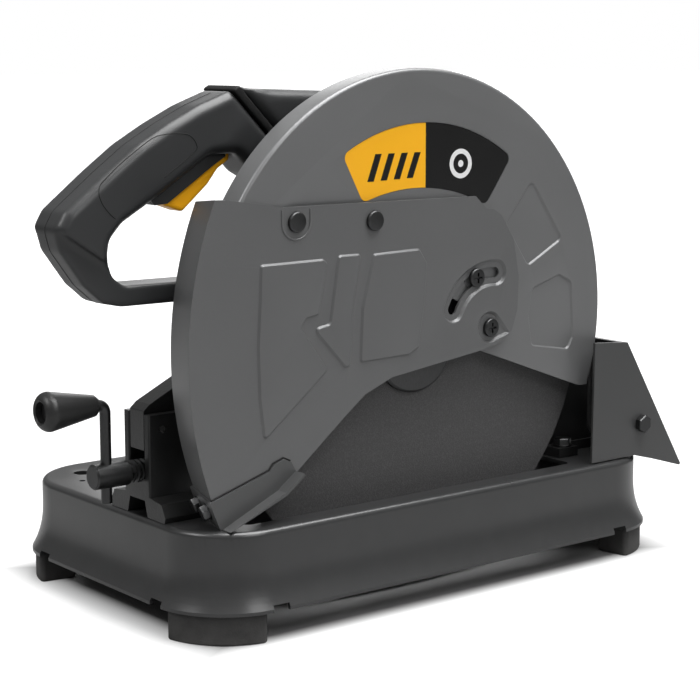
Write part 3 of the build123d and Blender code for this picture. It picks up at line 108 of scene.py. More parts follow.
def noise(tree, place, scale, detail=2.0):
    """Noise from 0 to 1 at a place."""
    node = tree.nodes.new("ShaderNodeTexNoise")
    node.inputs["Detail"].default_value = detail
    feed(tree, node.inputs["Vector"], place)
    feed(tree, node.inputs["Scale"], scale)
    return node.outputs["Fac"]


def maths(tree, operation, first, second):
    """One Math node."""
    node = tree.nodes.new("ShaderNodeMath")
    node.operation = operation
    feed(tree, node.inputs[0], first)
    feed(tree, node.inputs[1], second)
    return node.outputs[0]


def vector_maths(tree, operation, *values):
    """One Vector Math node, given whole because its answer may be a vector or a value."""
    node = tree.nodes.new("ShaderNodeVectorMath")
    node.operation = operation
    for socket, value in zip(node.inputs, values):
        feed(tree, socket, value)
    return node


def ramp(tree, value, start, end, low=0.0, high=1.0):
    """Maps start..end to low..high and clamps what lies outside."""
    node = tree.nodes.new("ShaderNodeMapRange")
    feed(tree, node.inputs["Value"], value)
    for label, limit in (("From Min", start), ("From Max", end), ("To Min", low), ("To Max", high)):
        feed(tree, node.inputs[label], limit)
    return node.outputs["Result"]


def shade(tree, colour, factor):
    """A colour multiplied by a value that changes over the surface."""
    node = vector_maths(tree, "SCALE", colour)
    feed(tree, node.inputs["Scale"], factor)
    return node.outputs[0]


def relief(tree, height, strength, distance):
    """A normal that leans with a height, for a Normal input."""
    node = tree.nodes.new("ShaderNodeBump")
    feed(tree, node.inputs["Strength"], strength)
    feed(tree, node.inputs["Distance"], distance)
    feed(tree, node.inputs["Height"], height)
    return node.outputs["Normal"]


# %% [markdown]
# ## Studio light
# Dark paint is drawn by what it reflects, so the studio is made of a few large soft panels: a key from the
# front, a broad one overhead that rims the guard and the deck, and lower fills on the wheel side and behind.
# The backdrop looks white to the camera, but lights the saw far less: dim at the horizon, brighter overhead.

# %% Panels and backdrop
STUDIO_CENTRE_HEIGHT = 0.2
PANELS = (
    ("key_panel", (-0.3, -2.1, 2.1), (0.0, -0.1, STUDIO_CENTRE_HEIGHT), (1.2, 1.0), 24.0),
    ("top_panel", (0.4, 0.4, 2.2), (0.0, 0.0, STUDIO_CENTRE_HEIGHT), (1.7, 1.7), 84.0),
    ("side_panel", (2.3, 0.2, 1.9), (0.1, 0.0, STUDIO_CENTRE_HEIGHT), (1.2, 1.2), 17.0),
    ("back_panel", (-1.8, 1.6, 1.3), (0.0, 0.0, 0.25), (1.4, 1.4), 14.0),
)
for name, place, aim, size, watts in PANELS:
    light = bpy.data.lights.new(name, "AREA")
    light.shape = "RECTANGLE"
    light.size, light.size_y = size
    light.energy = watts
    panel = bpy.data.objects.new(name, light)
    scene.collection.objects.link(panel)
    panel.location = place
    panel.rotation_euler = (Vector(place) - Vector(aim)).to_track_quat("Z", "Y").to_euler()

WHITE = (1.0, 1.0, 1.0, 1.0)
HORIZON_LIGHT, ZENITH_LIGHT = 0.13, 0.45
HORIZON, NEAR_ZENITH = 0.05, 0.9
world = bpy.data.worlds.new("studio")
scene.world = world
world.use_nodes = True
tree = world.node_tree
backdrop = tree.nodes["Background"]
backdrop.inputs["Color"].default_value = WHITE
heading = tree.nodes.new("ShaderNodeSeparateXYZ")
tree.links.new(tree.nodes.new("ShaderNodeTexCoord").outputs["Generated"], heading.inputs[0])
dome = ramp(tree, heading.outputs["Z"], HORIZON, NEAR_ZENITH, HORIZON_LIGHT, ZENITH_LIGHT)
camera_ray = tree.nodes.new("ShaderNodeLightPath").outputs["Is Camera Ray"]
tree.links.new(ramp(tree, camera_ray, 0.0, 1.0, dome, 1.0), backdrop.inputs["Strength"])
scene.view_settings.view_transform = "Standard"
print("studio:", len(PANELS), "panels")

# %% [markdown]
# ## The floor
# The floor is one large sheet of pale paper. It glows a little for the camera only, so that it meets the
# backdrop without a horizon. The glow stops at the saw's footprint, where the floor has to stay in shadow,
# and grows with distance as the panels' light falls away.

# %% Floor
FLOOR_HALF_SIZE = 25.0
FOOTPRINT_HALF = (0.150, 0.245)
NEAR_GLOW, EXTRA_FAR_GLOW = 0.80, 0.40
SHADOW_EDGE, FAR_GLOW_REACH = (0.86, 1.02), (0.5, 2.0)
sheet = bmesh.new()
bmesh.ops.create_grid(sheet, x_segments=1, y_segments=1, size=FLOOR_HALF_SIZE)
floor_mesh = bpy.data.meshes.new("floor")
sheet.to_mesh(floor_mesh)
sheet.free()
floor = bpy.data.objects.new("floor", floor_mesh)
scene.collection.objects.link(floor)
paper = bpy.data.materials.new("pale_floor")
paper.use_nodes = True
tree = paper.node_tree
shader = tree.nodes["Principled BSDF"]
shader.inputs["Base Color"].default_value = (0.32, 0.32, 0.32, 1.0)
shader.inputs["Roughness"].default_value = 0.95
shader.inputs["Specular IOR Level"].default_value = 0.0
shader.inputs["Emission Color"].default_value = WHITE
place = object_place(tree)
across = vector_maths(tree, "MULTIPLY", place, (1 / FOOTPRINT_HALF[0], 1 / FOOTPRINT_HALF[1], 0.0))
sides = tree.nodes.new("ShaderNodeSeparateXYZ")
tree.links.new(vector_maths(tree, "ABSOLUTE", across.outputs[0]).outputs[0], sides.inputs[0])
outside = maths(tree, "MAXIMUM", sides.outputs["X"], sides.outputs["Y"])
footprint = ramp(tree, outside, *SHADOW_EDGE, 0.0, NEAR_GLOW)
reach = vector_maths(tree, "LENGTH", place).outputs["Value"]
glow = maths(tree, "ADD", footprint, ramp(tree, reach, *FAR_GLOW_REACH, 0.0, EXTRA_FAR_GLOW))
camera_ray = tree.nodes.new("ShaderNodeLightPath").outputs["Is Camera Ray"]
tree.links.new(maths(tree, "MULTIPLY", glow, camera_ray), shader.inputs["Emission Strength"])
floor_mesh.materials.append(paper)
print("floor:", 2 * FLOOR_HALF_SIZE, "m square")

# %% [markdown]
# ## Grain: the effect most finishes share
# Paint, moulded plastic, rubber and castings are never one flat colour. Each has a fine grain that breaks up
# the highlight, and broad clouds where it is a little lighter or duller. Both come from noise in object
# coordinates, so one node group serves them all. It gives back a colour, a roughness and a normal.

# %% The grain group
def new_group(name, inputs, outputs):
    """An empty shader node group with named sockets, and its two end nodes."""
    group = bpy.data.node_groups.new(name, "ShaderNodeTree")
    for label, kind, value in inputs:
        socket = group.interface.new_socket(label, in_out="INPUT", socket_type=kind)
        socket.default_value = value
    for label, kind in outputs:
        group.interface.new_socket(label, in_out="OUTPUT", socket_type=kind)
    return group, group.nodes.new("NodeGroupInput").outputs, group.nodes.new("NodeGroupOutput").inputs


COLOUR, VALUE, VECTOR = "NodeSocketColor", "NodeSocketFloat", "NodeSocketVector"
GRAIN_INPUTS = [("Colour", COLOUR, (0.5, 0.5, 0.5, 1.0)), ("Cloud Scale", VALUE, 12.0),
                ("Cloud Depth", VALUE, 0.1), ("Grain Scale", VALUE, 900.0), ("Grain Depth", VALUE, 0.1),
                ("Roughness", VALUE, 0.5), ("Roughness Spread", VALUE, 0.1), ("Bump", VALUE, 0.1)]
SURFACE_OUTPUTS = [("Colour", COLOUR), ("Roughness", VALUE), ("Normal", VECTOR)]
GRAIN_HEIGHT = 0.0004
grain_group, given, result = new_group("grain", GRAIN_INPUTS, SURFACE_OUTPUTS)
place = object_place(grain_group)
clouds = maths(grain_group, "SUBTRACT", noise(grain_group, place, given["Cloud Scale"], 3.0), 0.5)
specks = maths(grain_group, "SUBTRACT", noise(grain_group, place, given["Grain Scale"]), 0.5)
lift = maths(grain_group, "ADD", maths(grain_group, "MULTIPLY", clouds, given["Cloud Depth"]),
             maths(grain_group, "MULTIPLY", specks, given["Grain Depth"]))
tone = maths(grain_group, "ADD", lift, 1.0)
spread = maths(grain_group, "MULTIPLY", clouds, given["Roughness Spread"])
feed(grain_group, result["Colour"], shade(grain_group, given["Colour"], tone))
feed(grain_group, result["Roughness"], maths(grain_group, "ADD", given["Roughness"], spread))
feed(grain_group, result["Normal"], relief(grain_group, specks, given["Bump"], GRAIN_HEIGHT))
print("group:", grain_group.name, len(grain_group.nodes), "nodes")

# %% [markdown]
# ## Tool marks on turned and drawn steel
# A lathe or a grinding belt leaves fine lines that run one way. Noise squeezed hard along two axes and left
# long on the third makes them. The stretch is a group input, so a shaft along X and a plate along Z share the
# group.

# %% The tool-mark group
MARK_INPUTS = [("Colour", COLOUR, (0.6, 0.6, 0.6, 1.0)), ("Stretch", VECTOR, (2000.0, 60.0, 60.0)),
               ("Depth", VALUE, 0.25), ("Roughness", VALUE, 0.3), ("Bump", VALUE, 0.1)]
STAIN_SCALE, STAIN_DEPTH, STAIN_DULLNESS = 45.0, 0.25, 0.3
MARK_HEIGHT = 0.0002
mark_group, given, result = new_group("tool_marks", MARK_INPUTS, SURFACE_OUTPUTS)
place = object_place(mark_group)
squeezed = vector_maths(mark_group, "MULTIPLY", place, given["Stretch"]).outputs[0]
lines = maths(mark_group, "SUBTRACT", noise(mark_group, squeezed, 1.0, 3.0), 0.5)
stains = maths(mark_group, "SUBTRACT", noise(mark_group, place, STAIN_SCALE, 3.0), 0.5)
tone = maths(mark_group, "ADD", maths(mark_group, "MULTIPLY", lines, given["Depth"]),
             maths(mark_group, "MULTIPLY", stains, STAIN_DEPTH))
dullness = maths(mark_group, "MULTIPLY", stains, STAIN_DULLNESS)
feed(mark_group, result["Colour"], shade(mark_group, given["Colour"], maths(mark_group, "ADD", tone, 1.0)))
feed(mark_group, result["Roughness"], maths(mark_group, "ADD", given["Roughness"], dullness))
feed(mark_group, result["Normal"], relief(mark_group, lines, given["Bump"], MARK_HEIGHT))
print("group:", mark_group.name, len(mark_group.nodes), "nodes")

# %% [markdown]
# ## Dust that settles low down
# A cutting saw gathers grey grit near the deck. The mask fades out with height and is broken up by noise, so
# it reads as a light film and not as a band. It only lightens a colour, so it sits between the grain and the
# shader.

# %% The dust group
DUST_INPUTS = [("Colour", COLOUR, (0.1, 0.1, 0.1, 1.0)), ("Top", VALUE, 0.12), ("Amount", VALUE, 0.2)]
DUST_COLOUR = (0.32, 0.31, 0.30, 1.0)
DUST_SCALE = 70.0
dust_group, given, result = new_group("deck_dust", DUST_INPUTS, [("Colour", COLOUR)])
place = object_place(dust_group)
split = dust_group.nodes.new("ShaderNodeSeparateXYZ")
dust_group.links.new(place, split.inputs[0])
low_down = ramp(dust_group, split.outputs["Z"], 0.0, given["Top"], 1.0, 0.0)
patches = noise(dust_group, place, DUST_SCALE, 6.0)
film = maths(dust_group, "MULTIPLY", maths(dust_group, "MULTIPLY", low_down, patches), given["Amount"])
settle = dust_group.nodes.new("ShaderNodeMix")
settle.data_type = "RGBA"
MIX_FACTOR, MIX_UNDER, MIX_OVER = 0, 6, 7  # a Mix node keeps one set of sockets for each kind of data
feed(dust_group, settle.inputs[MIX_FACTOR], film)
feed(dust_group, settle.inputs[MIX_UNDER], given["Colour"])
feed(dust_group, settle.inputs[MIX_OVER], DUST_COLOUR)
feed(dust_group, result["Colour"], settle.outputs[2])
print("group:", dust_group.name, len(dust_group.nodes), "nodes")

# %% [markdown]
# ## From a group to a finish
# A finish is one Principled shader fed by one group. The plain numbers of the finish, such as how metallic it
# is, sit on the shader, and everything that varies over the surface comes out of the group.

# %% Helpers that put a group into a material
def new_finish(name, metallic=0.0, coat=0.0, specular=0.5):
    """A material with a Principled shader whose plain numbers are set on its own sockets."""
    finish = bpy.data.materials.new(name)
    finish.use_nodes = True
    shader = finish.node_tree.nodes["Principled BSDF"]
    shader.inputs["Metallic"].default_value = metallic
    shader.inputs["Coat Weight"].default_value = coat
    shader.inputs["Coat Roughness"].default_value = 0.25
    shader.inputs["Specular IOR Level"].default_value = specular
    return finish, shader


def place_group(finish, group, **values):
    """Adds a group node to a material and sets its inputs by name, with _ for a space."""
    node = finish.node_tree.nodes.new("ShaderNodeGroup")
    node.node_tree = group
    for label, value in values.items():
        node.inputs[label.replace("_", " ")].default_value = value
    return node


def wire(finish, source, shader, dust=0.0, top=0.12):
    """Links a group's colour, roughness and normal to the shader, through the dust where it is wanted."""
    links = finish.node_tree.links
    colour = source.outputs["Colour"]
    if dust:
        film = place_group(finish, dust_group, Amount=dust, Top=top)
        links.new(colour, film.inputs["Colour"])
        colour = film.outputs["Colour"]
    links.new(colour, shader.inputs["Base Color"])
    links.new(source.outputs["Roughness"], shader.inputs["Roughness"])
    links.new(source.outputs["Normal"], shader.inputs["Normal"])


def grey(level, tint=0.0):
    """A neutral colour that leans to blue by a small tint."""
    return (level * (1 - tint), level, level * (1 + tint), 1.0)


finishes = {}

# %% [markdown]
# ## Painted sheet and castings
# The guards are steel sheet under a metallic grey paint: part metal in the shader, a fine sparkle in the
# grain and a thin coat. The base has a darker, glossier paint and the castings a thicker one whose grain
# shows. The columns are colour, metallic, coat, roughness, grain scale, grain depth, bump and dust.

# %% Paints
PAINTS = {
    "guard_paint": (grey(0.175, 0.01), 0.35, 0.15, 0.36, 1600.0, 0.14, 0.08, 0.0),
    "lower_guard_paint": (grey(0.140, 0.01), 0.35, 0.12, 0.38, 1600.0, 0.14, 0.08, 0.06),
    # The lip's row is the lower guard's paint made darker: painted shade for the lip, which sits under the
    # plate's edge.
    "lip_paint": (grey(0.088, 0.01), 0.30, 0.12, 0.40, 1600.0, 0.14, 0.08, 0.12),
    "hood_paint": (grey(0.060, 0.01), 0.20, 0.15, 0.38, 1300.0, 0.14, 0.10, 0.08),
    "base_paint": (grey(0.030, 0.02), 0.10, 0.35, 0.30, 1100.0, 0.10, 0.08, 0.06),
    "dark_sheet": (grey(0.016, 0.02), 0.10, 0.10, 0.45, 1100.0, 0.12, 0.12, 0.08),
    "casting_paint": (grey(0.011, 0.02), 0.10, 0.20, 0.38, 520.0, 0.18, 0.35, 0.08),
}
for name, (colour, metallic, coat, rough, scale, depth, bump, dust) in PAINTS.items():
    finishes[name], shader = new_finish(name, metallic, coat)
    source = place_group(finishes[name], grain_group, Colour=colour, Cloud_Scale=9.0, Cloud_Depth=0.14,
                         Grain_Scale=scale, Grain_Depth=depth, Roughness=rough, Roughness_Spread=0.14,
                         Bump=bump)
    wire(finishes[name], source, shader, dust)
print("paints:", len(PAINTS))

# %% [markdown]
# ## Plastics, rubber and small mineral parts
# Moulded plastic has a spark-eroded texture about half a millimetre across. Rubber is duller and softer, with
# almost no highlight. The trigger and the label film are glossy and bright, so their grain is kept very
# shallow. The columns are colour, roughness, grain scale, grain depth, bump and dust.

# %% Plastics and rubber
MOULDED = {
    "handle_plastic": (grey(0.028, 0.03), 0.36, 1500.0, 0.14, 0.22, 0.0),
    "neck_plastic": (grey(0.026, 0.03), 0.42, 1500.0, 0.14, 0.22, 0.0),
    "motor_plastic": (grey(0.030, 0.02), 0.50, 1200.0, 0.14, 0.25, 0.0),
    "knob_plastic": (grey(0.018, 0.0), 0.40, 1400.0, 0.12, 0.15, 0.0),
    "collar_rubber": (grey(0.006, 0.0), 0.62, 900.0, 0.2, 0.25, 0.0),
    "foot_rubber": (grey(0.022, 0.0), 0.66, 700.0, 0.22, 0.35, 0.30),
    "carbon": (grey(0.020, 0.0), 0.70, 800.0, 0.3, 0.3, 0.0),
    "trigger_orange": ((1.0, 0.46, 0.010, 1.0), 0.34, 1400.0, 0.05, 0.08, 0.0),
    "label_yellow": ((0.95, 0.46, 0.012, 1.0), 0.30, 2000.0, 0.04, 0.03, 0.0),
    "label_black": (grey(0.008, 0.0), 0.26, 2000.0, 0.08, 0.03, 0.0),
}
PLASTIC_SPECULAR, RUBBER_SPECULAR = 0.5, 0.3
FLOOR_DUST_TOP = 0.03
for name, (colour, rough, scale, depth, bump, dust) in MOULDED.items():
    specular = RUBBER_SPECULAR if "rubber" in name else PLASTIC_SPECULAR
    finishes[name], shader = new_finish(name, specular=specular)
    source = place_group(finishes[name], grain_group, Colour=colour, Cloud_Scale=14.0, Cloud_Depth=0.12,
                         Grain_Scale=scale, Grain_Depth=depth, Roughness=rough, Roughness_Spread=0.16,
                         Bump=bump)
    wire(finishes[name], source, shader, dust, FLOOR_DUST_TOP)
finishes["label_white"], shader = new_finish("label_white")
source = place_group(finishes["label_white"], grain_group, Colour=grey(0.8), Cloud_Scale=14.0,
                     Cloud_Depth=0.05, Grain_Scale=2000.0, Grain_Depth=0.03, Roughness=0.3,
                     Roughness_Spread=0.1, Bump=0.03)
wire(finishes["label_white"], source, shader)
print("plastics and rubber:", len(MOULDED) + 1)

# %% [markdown]
# ## Bare and plated metal
# Shafts, flanges and bolts are metal all the way, so Metallic is 1 and the colour is the reflection's. The
# lines run round a shaft because it turns against the tool, so the long axis of the noise lies across X. The
# columns are colour, roughness, stretch and depth.

# %% Metals
METALS = {
    "steel_bright": (grey(0.55), 0.28, (2600.0, 70.0, 70.0), 0.3),
    "steel_zinc": (grey(0.13, 0.01), 0.34, (900.0, 900.0, 300.0), 0.2),
    "steel_dark": (grey(0.075, 0.01), 0.38, (900.0, 900.0, 300.0), 0.3),
    "spring_steel": (grey(0.20), 0.35, (700.0, 200.0, 200.0), 0.3),
    "cast_alloy": (grey(0.30, 0.01), 0.50, (420.0, 420.0, 420.0), 0.3),
    "lamination_steel": (grey(0.22), 0.42, (4000.0, 20.0, 20.0), 0.8),
    "copper_winding": ((0.62, 0.25, 0.10, 1.0), 0.35, (60.0, 1500.0, 1500.0), 0.6),
}
for name, (colour, rough, stretch, depth) in METALS.items():
    finishes[name], shader = new_finish(name, metallic=1.0)
    source = place_group(finishes[name], mark_group, Colour=colour, Stretch=stretch, Depth=depth,
                         Roughness=rough, Bump=0.15)
    wire(finishes[name], source, shader)
print("metals:", len(METALS))

# %% [markdown]
# ## The abrasive wheel
# A cutting wheel is dark abrasive grit in resin over glass-fibre mesh. Voronoi cells a fraction of a
# millimetre wide give the grit its sparkle, and two crossed waves give the mesh that shows faintly through
# the resin.

# %% Abrasive
GRIT_SCALE, WEAVE_SCALE, WEAVE_WANDER = 900.0, 55.0, 0.6
GRIT_CONTRAST, WEAVE_CONTRAST, RESIN_LEVEL = 0.7, 0.05, 0.6
RESIN_COLOUR = (0.072, 0.071, 0.072)
RESIN_ROUGHNESS, GRIT_DULLNESS = 0.45, 0.3
GRIT_BUMP, GRIT_HEIGHT = 0.5, 0.0005
finishes["wheel_abrasive"], shader = new_finish("wheel_abrasive", specular=0.35)
tree = finishes["wheel_abrasive"].node_tree
place = object_place(tree)
grit = tree.nodes.new("ShaderNodeTexVoronoi")
grit.inputs["Scale"].default_value = GRIT_SCALE
tree.links.new(place, grit.inputs["Vector"])
strands = {}
for axis in ("Y", "Z"):
    wave = tree.nodes.new("ShaderNodeTexWave")
    wave.bands_direction = axis
    wave.inputs["Scale"].default_value = WEAVE_SCALE
    wave.inputs["Distortion"].default_value = WEAVE_WANDER
    tree.links.new(place, wave.inputs["Vector"])
    strands[axis] = wave.outputs["Fac"]
weave = maths(tree, "MAXIMUM", strands["Y"], strands["Z"])
level = maths(tree, "ADD", maths(tree, "MULTIPLY", grit.outputs["Distance"], GRIT_CONTRAST),
              maths(tree, "MULTIPLY", weave, WEAVE_CONTRAST))
level = maths(tree, "ADD", level, RESIN_LEVEL)
dullness = maths(tree, "ADD", maths(tree, "MULTIPLY", grit.outputs["Distance"], GRIT_DULLNESS),
                 RESIN_ROUGHNESS)
tree.links.new(shade(tree, RESIN_COLOUR, level), shader.inputs["Base Color"])
tree.links.new(dullness, shader.inputs["Roughness"])
tree.links.new(relief(tree, level, GRIT_BUMP, GRIT_HEIGHT), shader.inputs["Normal"])
print("grit cells about", round(1000 / GRIT_SCALE, 1), "mm wide")

# %% [markdown]
# ## Every CAD node gets its finish
# The record names a material slot for each node, so one loop paints them all. A node that is later replaced
# by a better shape hands the same finish on.

# %% Paint the nodes
for name, node in nodes.items():
    for material_slot in node.material_slots:
        material_slot.material = finishes[slot_of[name]]
    if not node.material_slots:
        node.data.materials.append(finishes[slot_of[name]])
print("painted", len(nodes), "nodes with", len(finishes), "finishes")

# %% [markdown]
# ## Helpers for shapes
# A CAD mesh is loose triangles, which can't be bevelled well. A working copy is merged, and flat triangles
# are dissolved back into whole faces. The piece then rides on its body, takes its slot and replaces its node.

# %% Copies and pieces
MERGE_DISTANCE = 2e-5
FLAT_ANGLE = math.radians(0.4)


def working_copy(*names):
    """CAD nodes as one merged bmesh with whole flat faces."""
    shape = bmesh.new()
    for name in names:
        shape.from_mesh(nodes[name].data)
    bmesh.ops.remove_doubles(shape, verts=shape.verts, dist=MERGE_DISTANCE)
    bmesh.ops.dissolve_limit(shape, angle_limit=FLAT_ANGLE, verts=shape.verts, edges=shape.edges)
    return shape


def make_piece(shape, name, body, slot, sharp=32.0):
    """Turns a bmesh into a smooth-shaded piece on a body, with its slot's finish."""
    mesh = bpy.data.meshes.new(name)
    shape.to_mesh(mesh)
    shape.free()
    mesh.polygons.foreach_set("use_smooth", [True] * len(mesh.polygons))
    mesh.set_sharp_from_angle(angle=math.radians(sharp))
    mesh.materials.append(finishes[slot])
    piece = bpy.data.objects.new(name, mesh)
    scene.collection.objects.link(piece)
    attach(piece, body)
    return piece


def baked(source):
    """The shape of an object with its modifiers or bevel applied, as a bmesh. The object is removed."""
    mesh = bpy.data.meshes.new_from_object(source.evaluated_get(bpy.context.evaluated_depsgraph_get()))
    bpy.data.objects.remove(source)
    shape = bmesh.new()
    shape.from_mesh(mesh)
    bpy.data.meshes.remove(mesh)
    return shape


# %% Rounding
def round_edges(piece, width, segments=2):
    """A live Bevel on the sharp edges, with the flats kept flat."""
    bevel = piece.modifiers.new("rounded_edges", "BEVEL")
    bevel.width = width
    bevel.segments = segments
    bevel.limit_method = "ANGLE"
    bevel.angle_limit = math.radians(32.0)
    bevel.harden_normals = True
    bevel.use_clamp_overlap = True


def soften(node, width):
    """Replaces a node with a merged copy of itself whose edges are rounded."""
    piece = make_piece(working_copy(node), "soft_" + node, body_of[node], slot_of[node])
    round_edges(piece, width)
    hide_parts(node)
    return piece


def moulded(name, members, voxel, passes):
    """Replaces nodes with one remeshed, smoothed copy, as thick plastic comes out of a mould."""
    body, slot = body_of[members[0]], slot_of[members[0]]
    rough = make_piece(working_copy(*members), "rough_" + name, body, slot)
    remesh = rough.modifiers.new("remesh", "REMESH")
    remesh.mode = "VOXEL"
    remesh.voxel_size = voxel
    relax = rough.modifiers.new("relax", "SMOOTH")
    relax.factor = 0.5
    relax.iterations = passes
    piece = make_piece(baked(rough), "moulded_" + name, body, slot, 60.0)
    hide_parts(*members)
    print("moulded", name, len(piece.data.polygons), "faces")
    return piece


# %% [markdown]
# ## Beads and prisms
# Two simple builders cover the small additions. A bead is a thin round line along points, for a seam, a
# pressed rim or a dark gap. A prism is an outline in Y and Z pushed from one X to another.

# %% Beads and prisms
def bead(points, radius, name, body, slot):
    """A round line along points, as a piece."""
    curve = bpy.data.curves.new(name, "CURVE")
    curve.dimensions = "3D"
    curve.bevel_depth = radius
    curve.bevel_resolution = 2
    curve.use_fill_caps = True
    spline = curve.splines.new("POLY")
    spline.points.add(len(points) - 1)
    for knot, point in zip(spline.points, points):
        knot.co = (*point, 1.0)
    line = bpy.data.objects.new(name + "_line", curve)
    scene.collection.objects.link(line)
    return make_piece(baked(line), name, body, slot, 60.0)


def prism(shape, outline, x0, x1):
    """Adds a solid between two X planes, with its outline as (y, z) in millimetres."""
    ends = [[shape.verts.new((x, y / 1000, z / 1000)) for y, z in outline] for x in (x0, x1)]
    for end in ends:
        shape.faces.new(end)
    for k in range(len(outline)):
        after = (k + 1) % len(outline)
        shape.faces.new((ends[0][k], ends[0][after], ends[1][after], ends[1][k]))


# %% [markdown]
# ## Stamped, cast and machined parts with softened edges
# No real edge is perfectly sharp: sheet has a drawn radius, castings a fillet, and bolts a turned chamfer. A
# small bevel catches a thin line of light, which is most of what makes painted metal look solid. The widths
# are in metres.

# %% Softened nodes
SOFT_EDGES = {
    "upper_guard": 0.0007, "lower_guard": 0.0004, "guard_lip": 0.0005, "guard_back": 0.0005,
    "spark_guard": 0.0005, "rubber_feet": 0.0012, "vise_bracket": 0.0010, "release_lever": 0.0008,
    "vise_jaw": 0.0010, "fence": 0.0008, "pivot_bracket": 0.0012, "swing_arm": 0.0015, "gear_case": 0.0008,
    "gear_cover": 0.0008, "motor_housing": 0.0006, "motor_end_cap": 0.0006, "spindle_lock_button": 0.0005,
    "lock_off_button": 0.0004, "lock_pin": 0.0006, "half_nut": 0.0004, "guard_rivets": 0.0004,
    "guard_cross_screws": 0.0002, "lip_bolts": 0.0002, "deck_bolts": 0.0003, "fence_clamp_bolt": 0.0003,
    "abrasive_wheel": 0.0003, "outer_flange": 0.0004, "brush_caps": 0.0004, "case_screws": 0.0003,
}
softened = {name: soften(name, width) for name, width in SOFT_EDGES.items()}
# The lip takes the darker copy of the lower guard's paint, which is painted shade.
softened["guard_lip"].data.materials[0] = finishes["lip_paint"]
print("softened", len(softened), "nodes")

# %% [markdown]
# ## The base pan's flowing flare
# The pan's wall swings out to its lip like the mouth of a bell. The CAD solid holds that as a straight slope,
# so the copy is sliced into thin bands and each band is pushed in until the slope flows.

# %% Base pan
LIP_TOP, FLARE_TOP, FLARE_REACH = 0.029, 0.062, 0.009
RISE_PER_STEP_IN = 1.5
CURVE_START, BELL_POWER, BANDS = 0.0245, 2.4, 16
CORNER_AT = (0.0822, 0.1738)
CORNER_RADIUS, WALL_ZONE = 0.0628, 0.016
pan = working_copy("base_pan")
for step in range(BANDS + 1):
    height = CURVE_START + (FLARE_TOP - CURVE_START) * step / BANDS
    bmesh.ops.bisect_plane(pan, geom=pan.verts[:] + pan.edges[:] + pan.faces[:], dist=1e-6,
                           plane_co=(0.0, 0.0, height), plane_no=(0.0, 0.0, 1.0))


def straight_slope(height):
    """How far the CAD wall stands in from the lip at a height."""
    return min(max(height - LIP_TOP, 0.0) / RISE_PER_STEP_IN, FLARE_REACH)


def flowing_slope(height):
    """The same for a bell that leaves the lip steeply and runs out into the wall."""
    t = min(max((height - CURVE_START) / (FLARE_TOP - CURVE_START), 0.0), 1.0)
    return FLARE_REACH * (1 - (1 - t) ** BELL_POWER)


def from_corner(place):
    """The way out from the nearest corner centre or straight wall's inner line, as (x, y)."""
    inner = [max(-limit, min(limit, value)) for limit, value in zip(CORNER_AT, place)]
    return Vector((place.x, place.y)) - Vector(inner)


for vert in pan.verts:
    outward = from_corner(vert.co)
    if CURVE_START < vert.co.z < FLARE_TOP and outward.length > CORNER_RADIUS - WALL_ZONE:
        push = outward.normalized() * (straight_slope(vert.co.z) - flowing_slope(vert.co.z))
        vert.co.x += push.x
        vert.co.y += push.y
base_piece = make_piece(pan, "pan_pressing", "base", "base_paint")
round_edges(base_piece, 0.0006)
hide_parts("base_pan")
print("pan faces:", len(base_piece.data.polygons))

# %% [markdown]
# ## Moulded handle, collar, neck and trigger
# The D-handle is two thick plastic shells screwed together. Their corners are all round, more than a bevel
# can give, so the pair is rebuilt from small voxels and relaxed. The line where they meet is drawn back
# afterwards. Each row is a name, its CAD nodes, the voxel size and the passes of smoothing.

# %% Moulded pieces
MOULDINGS = (
    ("handle", ("handle_left", "handle_right"), 0.0015, 18),
    ("handle_neck", ("handle_neck",), 0.0018, 12),
    ("handle_collar", ("handle_collar",), 0.0012, 4),
    ("trigger", ("trigger",), 0.0009, 6),
)
plastic = {row[0]: moulded(*row) for row in MOULDINGS}

# %% [markdown]
# ## The grip's seams and the trigger's shroud
# The palm panel of the grip is a separate moulding, and what shows of it is a fine dark seam. The seam is a
# bead dropped onto the rounded grip by casting rays at it. The shells' parting line is found the same way,
# with rays from all round the loop. Two cheeks and a nose wrap the top of the trigger.

# %% Grip seam
SEAM = ((-257, 299), (-261, 302), (-267, 309), (-270, 316), (-268, 322), (-262, 327), (-248, 338),
        (-225, 353), (-216, 355.5), (-203, 356), (-194, 354), (-189, 347), (-190, 343), (-203, 334.5),
        (-217, 325.5))
SEAM_START_X = 0.09
grip = BVHTree.FromObject(plastic["handle"], bpy.context.evaluated_depsgraph_get())


def round_corners(points, passes):
    """Cuts each corner of an open line a quarter of the way in, some number of times."""
    for _ in range(passes):
        cut = [points[0]]
        for first, second in zip(points, points[1:]):
            cut += [first.lerp(second, 0.25), first.lerp(second, 0.75)]
        points = cut + [points[-1]]
    return points


def drop(start, heading):
    """Where a ray from a point meets the grip, as a list that is empty for a miss."""
    hit = grip.ray_cast(start, heading)[0]
    return [] if hit is None else [hit]


seam_points = []
for point in round_corners([Vector((SEAM_START_X, y / 1000, z / 1000)) for y, z in SEAM], 3):
    seam_points += drop(point, Vector((-1.0, 0.0, 0.0)))
bead(seam_points, 0.00032, "grip_seam", "head", "collar_rubber")

# %% Parting line
LOOP_CENTRE = Vector((0.050, -0.215, 0.300))
LOOP_CLEAR = 0.15
PARTING_START, PARTING_STEP, PARTING_RAYS = 58.0, 2.1, 91
parting = []
for step in range(PARTING_RAYS):
    angle = math.radians(PARTING_START + PARTING_STEP * step)
    outward = Vector((0.0, math.cos(angle), math.sin(angle)))
    parting += drop(LOOP_CENTRE + LOOP_CLEAR * outward, -outward)
bead(parting, 0.00028, "parting_line", "head", "collar_rubber")
print("seam points:", len(seam_points), "parting points:", len(parting))

